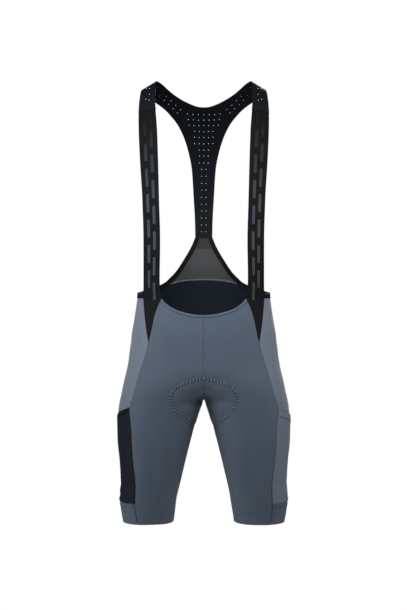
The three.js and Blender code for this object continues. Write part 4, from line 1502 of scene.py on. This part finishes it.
def stitches(name, start, end, out, radius, material):
    swell = np.sin(np.pi * THREAD_AT) ** THREAD_SWELL
    swell[[0, -1]] = 0
    along = unit(end - start)
    side = unit(np.cross(out, along))
    up = np.cross(along, side)
    lift = radius * (swell - THREAD_SUNK)
    centre = mix(start[:, None], end[:, None], THREAD_AT[None, :, None]) + out[:, None] * lift[None, :, None]
    size = radius * mix(THREAD_END, 1, swell)
    angle = np.arange(THREAD_SIDES) * 2 * np.pi / THREAD_SIDES
    ring = np.cos(angle)[:, None] * side[:, None, None, :] + np.sin(angle)[:, None] * up[:, None, None, :]
    places = centre[:, :, None] + size[None, :, None, None] * ring
    index = np.arange(places.size // 3).reshape(places.shape[:3])
    following = np.roll(index, -1, axis=2)
    quads = np.stack([index[:, :-1], following[:, :-1], following[:, 1:], index[:, 1:]], axis=-1)
    caps = index[:, 0, ::-1].tolist() + index[:, -1].tolist()
    faces = quads.reshape(-1, 4).tolist() + caps
    piece = new_piece(name, (places.reshape(-1, 3) * MM).tolist(), faces)
    piece.data.materials.append(material)
    piece.data.shade_smooth()
    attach(piece, BODY)
    print(f"{name}: {len(start)} stitches")


def joined_threads(name, runs, radius, material):
    start, end, out = [np.concatenate([run[k] for run in runs]) for k in range(3)]
    stitches(name, start, end, out, radius, material)


def on_both(run_for, name, radius, material):
    runs = [flipped(side_name, *run_for(side_name)) for side_name in SIDES]
    joined_threads(name, runs, radius, material)


def at_lengths(values, length, at):
    return np.stack([np.interp(at, length, column) for column in values.T], axis=1)


# %% Zigzag round the seat pad
ZIGZAG_PITCH, ZIGZAG_SWING, ZIGZAG_THREAD, ZIGZAG_SHADED_THREAD = 3.4, 3.4, 0.85, 0.5
FROM_MIDDLE, ZIGZAG_LIFT = 0.8, 0.35


def arc_at(x, z, behind):
    arcs = []
    for x_here, level in zip(x, np.searchsorted(LEVELS, z)):
        across = ROUND_X[level, ::-1] if behind else ROUND_X[level]
        arc = ROUND_ARC[level, ::-1] if behind else ROUND_ARC[level]
        k = max(int(np.argmax(across >= x_here)), 1)
        arcs.append(np.interp(x_here, across[k - 1 : k + 1], arc[k - 1 : k + 1]))
    return np.array(arcs)


def zigzag(side, side_name):
    line = edge_line(side)
    length = walked_along(line)
    line = at_lengths(line, length, np.arange(0, length[-1], ZIGZAG_PITCH))
    way = unit(np.gradient(line, axis=0))
    sideways = np.stack([-way[:, 1], way[:, 0]], axis=1)
    swing = ZIGZAG_SWING * np.where(np.arange(len(line)) % 2 == 0, 1, -1)
    path = line + sideways * swing[:, None]
    x, z = np.maximum(path[:, 0], FROM_MIDDLE), path[:, 1]
    place = back_place if side == "back" else front_place
    return flipped(side_name, *place(z, arc_at(x, z, side == "back"), side_name, ZIGZAG_LIFT))


# The zigzag's legs take turns: one in the lighter slate thread as a painted highlight, the next in the dark
# thread as painted shade between the pale legs.
for side in ("front", "back"):
    lit_legs, shaded_legs = [], []
    for side_name in SIDES:
        places, out = zigzag(side, side_name)
        lit_legs.append((places[:-1:2], places[1::2], out[:-1:2]))
        shaded_legs.append((places[1:-1:2], places[2::2], out[1:-1:2]))
    joined_threads("zigzag_lit_" + side, lit_legs, ZIGZAG_THREAD, slate_thread)
    joined_threads("zigzag_shaded_" + side, shaded_legs, ZIGZAG_SHADED_THREAD, dark_thread)

# %% [markdown]
# The neckline's hem is held by a row of plain stitches, with a small bar tack at each corner. A flat row
# of the same stitches marks the hem pieces and the left pocket's mouth. Each row is a path over the
# cloth, cut into stitches.


# %% Rows of plain stitches
STITCH_SHARE, PATH_POINTS, PATH_ENDS = 0.72, 200, (0.02, 0.98)
NECK_ENDS, NECK_BELOW_HEM, NECK_LIFT, NECK_PITCH = (0.004, 0.975), 0.5, -0.1, 2.6
CUFF_ROW_DOWN, CUFF_LIFT, CUFF_PITCH = 7.5, 0.1, 2.8
MOUTH_LIFT, MOUTH_PITCH, MOUTH_ABOVE, MOUTH_BELOW = 1.6, 2.4, 0.6, 0.2
PATH_SHARES = np.linspace(*PATH_ENDS, PATH_POINTS)


def row_of(path, out, pitch, share=STITCH_SHARE):
    length = walked_along(path)
    at = np.arange(0, length[-1] - pitch, pitch)
    ends = at_lengths(path, length, at), at_lengths(path, length, at + pitch * share)
    return *ends, unit(at_lengths(out, length, at))


def cuff_place(z, arc, above=CUFF_LIFT):
    base, out = on_cloth(z, arc)
    return lifted(base, out, above), out


def neck_row(side_name):
    share = np.linspace(*NECK_ENDS, PATH_POINTS)
    z = neckline(share) - HEM_WIDTH - NECK_BELOW_HEM
    return row_of(*front_place(z, share * seam_arc(FRONT_SEAM, z), side_name, NECK_LIFT), NECK_PITCH)


def cuff_row(side_name):
    z = np.full(PATH_POINTS, CUFF_TOP - CUFF_ROW_DOWN)
    return row_of(*cuff_place(z, side_between(z, PATH_SHARES)), CUFF_PITCH)


def mouth_row(down):
    z = mouth_line("left", PATH_SHARES)[0] - down
    return row_of(*cuff_place(z, side_between(z, PATH_SHARES), MOUTH_LIFT), MOUTH_PITCH)


mouth_rows = [mouth_row(-MOUTH_ABOVE), mouth_row(MOUTHS["left"][2] + MOUTH_BELOW)]


# %% Bar tacks
TACK_Z, TACK_IN, TACK_LIFT, TACK_PITCH, TACK_SHARE = (-5.0, -8.5), 3.2, 0.9, 0.8, 1.4
HEM_TACK_Z, HEM_TACK_ASIDE, HEM_TACK_PITCH, HEM_TACK_SHARE = (1.5, 6), 0.4, 0.9, 1.3
TACK_POINTS = 5
NECK_THREAD, TACK_THREAD, ROW_THREAD, MOUTH_THREAD, HEM_TACK_THREAD = 0.34, 0.45, 0.42, 0.34, 0.5


def corner_tack(side_name):
    z = FRONT_CORNER + np.linspace(*TACK_Z, TACK_POINTS)
    place = front_place(z, seam_arc(FRONT_SEAM, z) - TACK_IN, side_name, TACK_LIFT)
    return row_of(*place, TACK_PITCH, TACK_SHARE)


def hem_tack(side_name):
    z = HEM + np.linspace(*HEM_TACK_Z, TACK_POINTS)
    place = cuff_place(z, seam_arc(FRONT_SEAM, z) + HEM_TACK_ASIDE)
    return row_of(*place, HEM_TACK_PITCH, HEM_TACK_SHARE)


on_both(neck_row, "neck_stitches", NECK_THREAD, dark_thread)
on_both(corner_tack, "corner_tacks", TACK_THREAD, dark_thread)
on_both(cuff_row, "cuff_stitches", ROW_THREAD, dark_thread)
joined_threads("mouth_stitches", mouth_rows, MOUTH_THREAD, dark_thread)


# %% Flat seams down the sides
FLAT_HALF, FLAT_PITCH, FLAT_SLANT, FLAT_SUNK, FLAT_THREAD = 1.0, 1.5, 0.3, 0.35, 0.24
BELOW_TIP, ABOVE_WAIST, ABOVE_HEM = 1, 8, 1


def seam_run(name, top, seam):
    z = np.arange(top, HEM + ABOVE_HEM, -1.0)
    arc = seam_arc(seam, z)
    length = walked_along(on_figure(z, arc))
    z, arc = at_lengths(np.stack([z, arc], axis=1), length, np.arange(0, length[-1], FLAT_PITCH)).T
    near, out = cuff_place(z, arc - FLAT_HALF)
    far, _ = cuff_place(z - FLAT_PITCH * FLAT_SLANT, arc + FLAT_HALF)
    run = (near - out * FLAT_SUNK, far - out * FLAT_SUNK, out)
    on_both(lambda side_name: run, name, FLAT_THREAD, dark_thread)


seam_run("side_seams", V_TIP - BELOW_TIP, FRONT_SEAM)
seam_run("back_side_seams", SIDE_WAIST + ABOVE_WAIST, BACK_SEAM)


# %% Seams down the middle
MIDDLE_PITCH, MIDDLE_DOWN, MIDDLE_WIDE, MIDDLE_LIFT, MIDDLE_THREAD = 1.4, 0.5, 0.9, -0.1, 0.26
BACK_BELOW_EDGE, ABOVE_CROTCH = 3, 1


def middle_run(name, top, place, walk):
    z = np.arange(top, CROTCH + ABOVE_CROTCH, -MIDDLE_PITCH)
    near, out = place(z, walk(z, 0.0), "left", MIDDLE_LIFT)
    far, _ = place(z - MIDDLE_DOWN, walk(z, MIDDLE_WIDE), "left", MIDDLE_LIFT)
    on_both(lambda side_name: (near, far, out), name, MIDDLE_THREAD, dark_thread)


middle_run("front_middle_seam", FRONT_LOW - HEM_WIDTH, front_place, lambda z, by: by + 0 * z)
BACK_TOP = WAIST_EDGE(0.0) - BACK_BELOW_EDGE
middle_run("back_middle_seam", BACK_TOP, back_place, lambda z, by: full_length(z) - by)
on_both(hem_tack, "hem_tacks", HEM_TACK_THREAD, slate_thread)


# %% Pale seam along the net's lower edge
NET_SEAM_X, NET_SEAM_PITCH, NET_SEAM_HALF, NET_SEAM_INSIDE, NET_THREAD = 73.0, 1.5, 1.9, 1.5, 0.38


def net_seam():
    x = np.arange(-NET_SEAM_X, NET_SEAM_X, NET_SEAM_PITCH)
    swing = NET_SEAM_HALF * np.where(np.arange(len(x)) % 2 == 0, -1, 1)
    z = WAIST_EDGE(np.abs(x)) + swing
    base = np.stack([x, on_back(np.abs(x), z), z], axis=-1)
    out = way_out_both(base)
    inner = lifted(base, out, -NET_SEAM_INSIDE)
    return inner[:-1], inner[1:], -out[:-1]


joined_threads("net_seam", [net_seam()], NET_THREAD, grey_thread)

# %% [markdown]
# ## Floor, light and background
# The photo is a cut-out on white. Its light falls off down the legs, so a small soft light hangs close
# by, above and in front, and a tall one stands at each side. A low one at each side lifts the outer edges
# of the legs, and one behind shines through the yoke's holes. Left and right are the viewer's here. A
# white world shows behind all, but lights the cloth only a little. The floor is a pale disc well below
# the hems, because the garment is held up.

# %% Floor
FLOOR, FLOOR_RADIUS, FLOOR_SIDES, FLOOR_ROUGHNESS = -1.36, 0.9, 128, 0.8
FLOOR_GREY = (0.93, 0.93, 0.93, 1)
bpy.ops.mesh.primitive_circle_add(
    vertices=FLOOR_SIDES, radius=FLOOR_RADIUS, fill_type="NGON", location=(0, 0, FLOOR)
)
floor = bpy.context.object
floor.name = "floor"
floor_paint = bpy.data.materials.new("floor")
floor_paint.use_nodes = True
floor_shader = floor_paint.node_tree.nodes["Principled BSDF"]
floor_shader.inputs["Base Color"].default_value = FLOOR_GREY
floor_shader.inputs["Roughness"].default_value = FLOOR_ROUGHNESS
floor.data.materials.append(floor_paint)
print("floor at", FLOOR, "m")

# %% Lights
WAIST_AIM, LEG_AIM = (0, 0, -0.45), (0, 0, -0.8)
TALL, LOW = (0.8, 1.4), (0.3, 0.6)
LIGHTS = {
    # place, aim, width and height in metres, watts, spread in degrees
    "top_front": [(-0.14, -0.9, 0.35), (-0.06, 0, -0.40), (1.1, 0.35), 2.1, 40],
    "left_side": [(-1.8, -0.6, 0.2), WAIST_AIM, TALL, 8.2, 180],
    "right_side": [(1.8, -0.6, 0.3), WAIST_AIM, TALL, 7.4, 180],
    "left_low": [(-1.5, -0.65, -0.95), LEG_AIM, LOW, 6.0, 180],
    "right_low": [(1.5, -0.65, -0.95), LEG_AIM, LOW, 2.8, 180],
    "behind": [(0.4, 1.8, 0.6), WAIST_AIM, (1.2, 0.6), 7, 60],
}
for name, (place, aim, size, power, spread) in LIGHTS.items():
    bpy.ops.object.light_add(type="AREA", location=place)
    light = bpy.context.object
    light.name = name
    light.rotation_euler = (Vector(aim) - Vector(place)).to_track_quat("-Z", "Y").to_euler()
    light.data.shape = "RECTANGLE"
    light.data.size, light.data.size_y = size
    light.data.energy = power
    light.data.spread = np.radians(spread)
print("lights:", len(LIGHTS))

# %% White world
WORLD_SEEN, WORLD_LIT = 1.0, 0.12
world = bpy.data.worlds.new("white")
world.use_nodes = True
bpy.context.scene.world = world
tree = world.node_tree
tree.nodes.clear()
choice = tree.nodes.new("ShaderNodeMixShader")
tree.links.new(tree.nodes.new("ShaderNodeLightPath").outputs["Is Camera Ray"], choice.inputs[0])
for socket, strength in ((1, WORLD_LIT), (2, WORLD_SEEN)):
    background = tree.nodes.new("ShaderNodeBackground")
    background.inputs["Color"].default_value = (1, 1, 1, 1)
    background.inputs["Strength"].default_value = strength
    tree.links.new(background.outputs[0], choice.inputs[socket])
tree.links.new(choice.outputs[0], tree.nodes.new("ShaderNodeOutputWorld").inputs[0])
bpy.context.scene.view_settings.view_transform = "Standard"
print("world lights the cloth by", WORLD_LIT)
